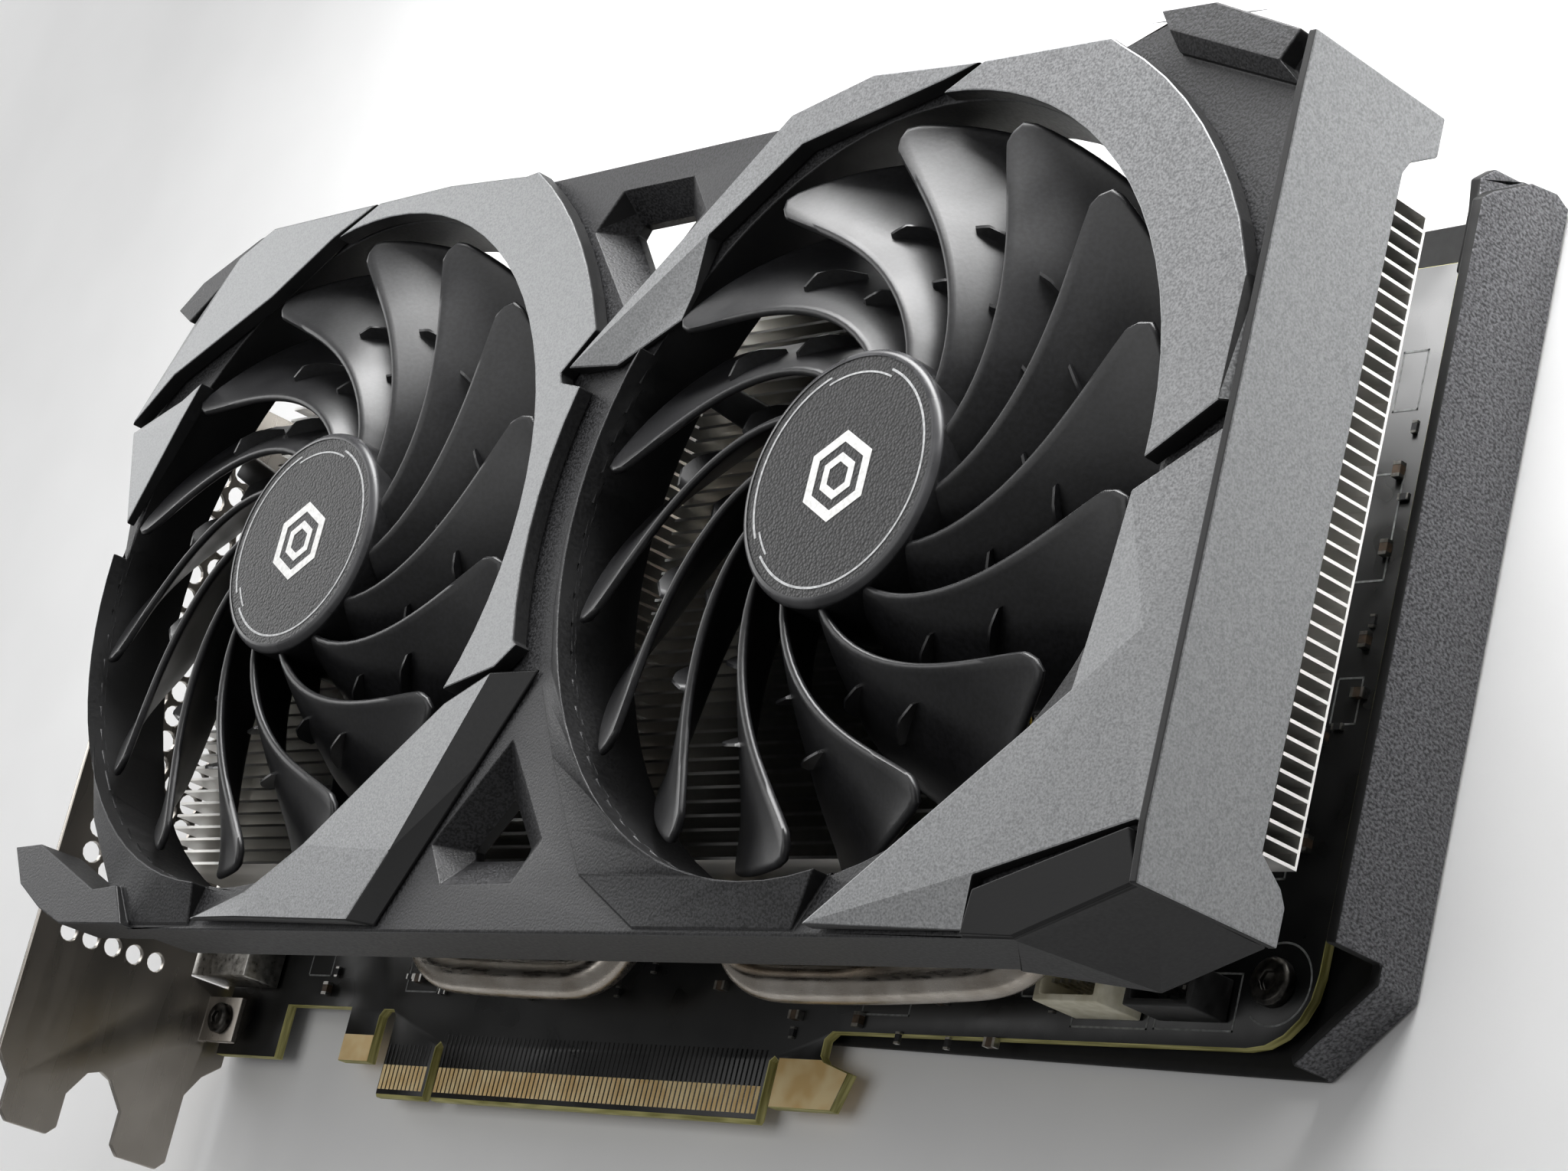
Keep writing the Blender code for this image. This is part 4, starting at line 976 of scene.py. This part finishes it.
def small_part(name, body_size, cap, height, body_material):
    """A soldered chip part with tinned ends, as two shapes to strew: its body and its ends."""
    x, y = body_size[0] / 2, body_size[1] / 2
    base, top = SOLDER_T, height + SOLDER_T
    body = linked(f"{name}_body", box_at_home((cap - x, -y, base), (x - cap, y, height)))
    ends = linked(f"{name}_ends", joined(box_at_home((-x, -y, base), (cap - x, y, top)),
                                         box_at_home((x - cap, -y, base), (x, y, top))))
    return (body, body_material), (ends, TIN)


def box_at_home(low, high):
    """A box drafted about the world's origin, for strewing."""
    mesh = box(low, high)
    mesh.transform(Matrix.Translation(-ORIGIN))
    return mesh


SOLDER_T = 0.03
STREW_GAP, STREW_DENSITY = 6.5, 26000.0     # least distance in millimetres, and parts for each square metre
PATCHES = (((-38, 14.5), (-26, 30)), ((-14, 14.6), (60, 26)), ((62, 11.5), (118, 26)), ((108, 32), (124, 92)),
           ((141, 30), (162, 96)), ((-48, 92), (100, 110)), ((118, 15), (124, 30)))


def make_small_parts():
    """Resistors and capacitors strewn over the free parts of the board."""
    patches = []
    for (x0, y0), (x1, y1) in PATCHES:
        build = bmesh.new()
        build.faces.new([build.verts.new(at(x, y, 0.0)) for x, y in ((x0, y0), (x1, y0), (x1, y1), (x0, y1))])
        mesh = bpy.data.meshes.new("patch")
        build.to_mesh(mesh)
        build.free()
        patches.append(mesh)
    kinds = (("resistor", (1.6, 0.8), 0.3, 0.5, EPOXY, 4), ("capacitor", (2.0, 1.2), 0.45, 1.0, CERAMIC, 9))
    for name, size, cap, height, material, seed in kinds:
        for shape, finish in small_part(name, size, cap, height, material):
            item = grown(f"{shape.name}_strewn", joined(*patches), SCATTER, finish, Distance=STREW_GAP * MM,
                         Density=STREW_DENSITY, Seed=seed, Shape=shape)
            show(item, None, "card")
            bpy.data.objects.remove(shape)


make_board()
make_fingers()
make_print()
make_small_parts()
for node in sorted(frame["nodes"]):
    if node.startswith(("memory_chip", "gpu_substrate")):
        refined(node, EPOXY, 0.15)
    elif node.startswith("power_choke"):
        refined(node, EPOXY, 0.6, 3)
paint_node("gpu_die", SHAFT_STEEL)


def make_headers():
    """Pin headers with their pins, and the power socket with its blades."""
    for node, material, count in (("fan_header", IVORY_NYLON, 6), ("aux_header", BLACK_NYLON, 4)):
        refined(node, material, 0.2)
        low, high = (drafted(corner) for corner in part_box(node))
        step = (high.x - low.x - 2.4) / count
        first, y = low.x + 1.2 + step / 2, (low.y + high.y) / 2
        pin = box((first - 0.25, y - 0.25, 2.0), (first + 0.25, y + 0.25, high.z - 1.0))
        row_of(f"{node}_pins", pin, count, (step, 0, 0), TIN)
    refined("power_connector", BLACK_NYLON, 0.25)
    for deck in range(2):
        z = 3.8 + 5.2 * deck
        pin = box((119.3 - 0.6, 100.5, z - 0.6), (119.3 + 0.6, 108.5, z + 0.6))
        row_of(f"power_pins_{deck + 1}", pin, 4, (4.2, 0, 0), TIN)


make_headers()


# ---- bracket and ports ---------------------------------------------------------------------------
VENT_PITCH, VENT_R = 4.1, 1.65
VENT_CORNER, VENT_COLUMNS, VENT_ROWS = (22.0, 12.6), 18, 6
LOW_VENT_Y, LOW_VENT_Z, LOW_VENT_STEP, LOW_VENT_R, LOW_VENTS = 15.5, 14.1, 4.05, 1.5, 5


def make_bracket():
    """The bent sheet with its honeycomb of vents cut through."""
    item = linked("mounting_bracket_finished", merged_copy("mounting_bracket"))
    face_x = drafted(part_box("hdmi_port")[0]).x + 0.5
    empty = bpy.data.meshes.new("cutters")
    comb = grown("vent_cutters", empty, COMB, BRACKET_STEEL, Columns=VENT_COLUMNS, Rows=VENT_ROWS,
                 Pitch=VENT_PITCH * MM, Radius=VENT_R * MM, Length=6 * MM, Corner=at(face_x, *VENT_CORNER))
    section = [(0, -3), (LOW_VENT_R, -3), (LOW_VENT_R, 3), (0, 3)]
    rods = []
    for index in range(LOW_VENTS):
        spot = at(face_x, LOW_VENT_Y, LOW_VENT_Z + LOW_VENT_STEP * index)
        rod = turned(section, Vector((0, 0, 0)), 16)
        rods.append(rod)
        turn = Matrix.Rotation(pi / 2, 4, "Y")
        rod.transform(Matrix.Translation(spot) @ turn @ Matrix.Translation(-ORIGIN))
    comb.data = joined(comb.data, *rods)
    cut = item.modifiers.new("vents", "BOOLEAN")
    cut.operation = "DIFFERENCE"
    cut.solver = "EXACT"
    cut.object = comb
    settled(item)
    bpy.data.objects.remove(comb)
    softened(item, 0.12, 1, 40)
    show(item, BRACKET_STEEL, "card", ["mounting_bracket"], 30)


def make_ports():
    """Port shells with their plastic tongues and gold contacts."""
    for node in ("hdmi_port", "display_port_1", "display_port_2", "display_port_3"):
        refined(node, PORT_STEEL, 0.25)
        low, high = (drafted(corner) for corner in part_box(node))
        y, z = (low.y + high.y) / 2, (low.z + high.z) / 2
        tongue = box((-58.4, y - 5.6, z - 0.1), (-50.6, y + 5.6, z + 0.9))
        show(linked(f"{node}_tongue", tongue), BLACK_NYLON, "card")
        contact = box((-58.0, y - 4.75, z + 0.9), (-50.8, y - 4.25, z + 1.0))
        row_of(f"{node}_contacts", contact, 10, (0, 1.0, 0), GOLD)


make_bracket()
make_ports()
for node in sorted(frame["nodes"]):
    if node.startswith(("bracket_screw", "cooler_screw", "board_screw")):
        refined(node, SCREW_STEEL, 0.15)

# ---- backplate -----------------------------------------------------------------------------------
painted_front("backplate", LEATHER_COAT, BLACK_FILM, TAILWARD, 0.5, width=0.3)


# ---- fan lead ------------------------------------------------------------------------------------
LEAD_STOPS = ((126.0, 59.6, 28.3), (133.0, 52.0, 28.3), (141.5, 40.0, 28.3), (142.0, 23.6, 28.2),
              (141.5, 20.6, 20.0), (138.5, 18.4, 11.5), (134.5, 18.3, 9.2))
WIRE_R = 0.42


def wire(name, offset):
    """One insulated wire on a smooth path beside the lead's middle line."""
    curve = bpy.data.curves.new(name, "CURVE")
    curve.dimensions = "3D"
    curve.bevel_depth = WIRE_R * MM
    curve.bevel_resolution = 3
    curve.use_fill_caps = True
    spline = curve.splines.new("NURBS")
    spline.points.add(len(LEAD_STOPS) - 1)
    for point, stop in zip(spline.points, LEAD_STOPS):
        point.co = (*at(*(Vector(stop) + Vector(offset))), 1.0)
    spline.use_endpoint_u = True
    spline.order_u = 4
    spline.resolution_u = 10
    return settled_curve(linked(name, curve))


def settled_curve(item):
    """A bevelled curve as a mesh object of the same name."""
    mesh = bpy.data.meshes.new_from_object(item.evaluated_get(bpy.context.evaluated_depsgraph_get()))
    name = item.name
    bpy.data.objects.remove(item)
    return linked(name, mesh)


WIRES = (((-0.5, 0, 0.2), YELLOW_PVC), ((0.35, 0.3, -0.25), BLACK_PVC), ((0.4, -0.3, 0.5), BLACK_PVC))
for index, (offset, finish) in enumerate(WIRES):
    strand = wire(f"fan_wire_{index + 1}", offset)
    show(strand, finish, "card", ["fan_lead_right"], 60)


# ---- camera, floor and light ---------------------------------------------------------------------
CAMERA_AT = Vector((0.39765, -0.12731, 0.32620))
LOOK = Vector((-0.74674, 0.27807, -0.60420))
UP = Vector((0.05956, 0.93272, 0.35565))
LENS, SENSOR = 87.44, 36.0
FLOOR_R, FLOOR_GAP = 5.0, 0.3
ROOM_LIGHT = 0.17
SOFTBOXES = (       # name, place, what it points at, width, height, watts, spread in degrees
    ("tail_edge", (0.20, 0.19, 0.075), (0.12, 0.045, 0.02), 0.09, 0.12, 0.07, 80),
    ("top_edge", (0.05, 0.235, 0.13), (0.05, 0.03, 0.04), 0.34, 0.10, 0.55, 110),
    ("key", (0.0, 0.65, 0.45), (0.0, 0.03, 0.04), 0.9, 0.4, 1.0, 180),
    ("left_sheen", (-0.85, 0.22, 0.30), (0.0, 0.0, 0.04), 0.5, 0.3, 1.5, 180),
    ("fin_light", (-0.62, 0.25, 0.55), (0.0, 0.0, 0.02), 0.3, 0.3, 0.6, 180),
    ("overhead", (-0.15, 0.0, 1.30), (0.0, 0.0, 0.0), 1.2, 1.2, 5, 180),
)


def make_camera():
    data = bpy.data.cameras.new("camera")
    data.lens = LENS
    data.sensor_width = SENSOR
    data.sensor_fit = "HORIZONTAL"
    data.clip_start = 0.01
    item = linked("camera", data)
    back = -LOOK.normalized()
    right = UP.cross(back).normalized()
    true_up = back.cross(right)
    turn = Matrix((right, true_up, back)).transposed().to_4x4()
    item.matrix_world = Matrix.Translation(CAMERA_AT) @ turn
    SCENE.camera = item


def softbox(name, spot, target, width, height, power, spread):
    """A rectangular area light aimed at a point; a grid in front of it narrows its spread."""
    data = bpy.data.lights.new(name, "AREA")
    data.shape = "RECTANGLE"
    data.size, data.size_y = width, height
    data.energy = power
    data.spread = radians(spread)
    item = linked(name, data)
    away = (Vector(spot) - Vector(target)).to_track_quat("Z", "Y")
    item.rotation_euler = away.to_euler()
    item.location = spot


def make_studio():
    build = bmesh.new()
    bmesh.ops.create_circle(build, cap_ends=True, radius=FLOOR_R, segments=64)
    mesh = bpy.data.meshes.new("floor")
    build.to_mesh(mesh)
    build.free()
    mesh.transform(Matrix.Translation((0, 0, CAD_BOX[0].z - FLOOR_GAP * MM)))
    floor = linked("floor", mesh)
    mesh.materials.append(studio_paper())
    world = bpy.data.worlds.new("studio")
    world.use_nodes = True
    background = world.node_tree.nodes["Background"].inputs
    background["Color"].default_value = (1.0, 1.0, 1.0, 1.0)
    background["Strength"].default_value = ROOM_LIGHT
    SCENE.world = world
    for name, *settings in SOFTBOXES:
        softbox(name, *settings)
    SCENE.view_settings.view_transform = "Standard"


make_camera()
make_studio()
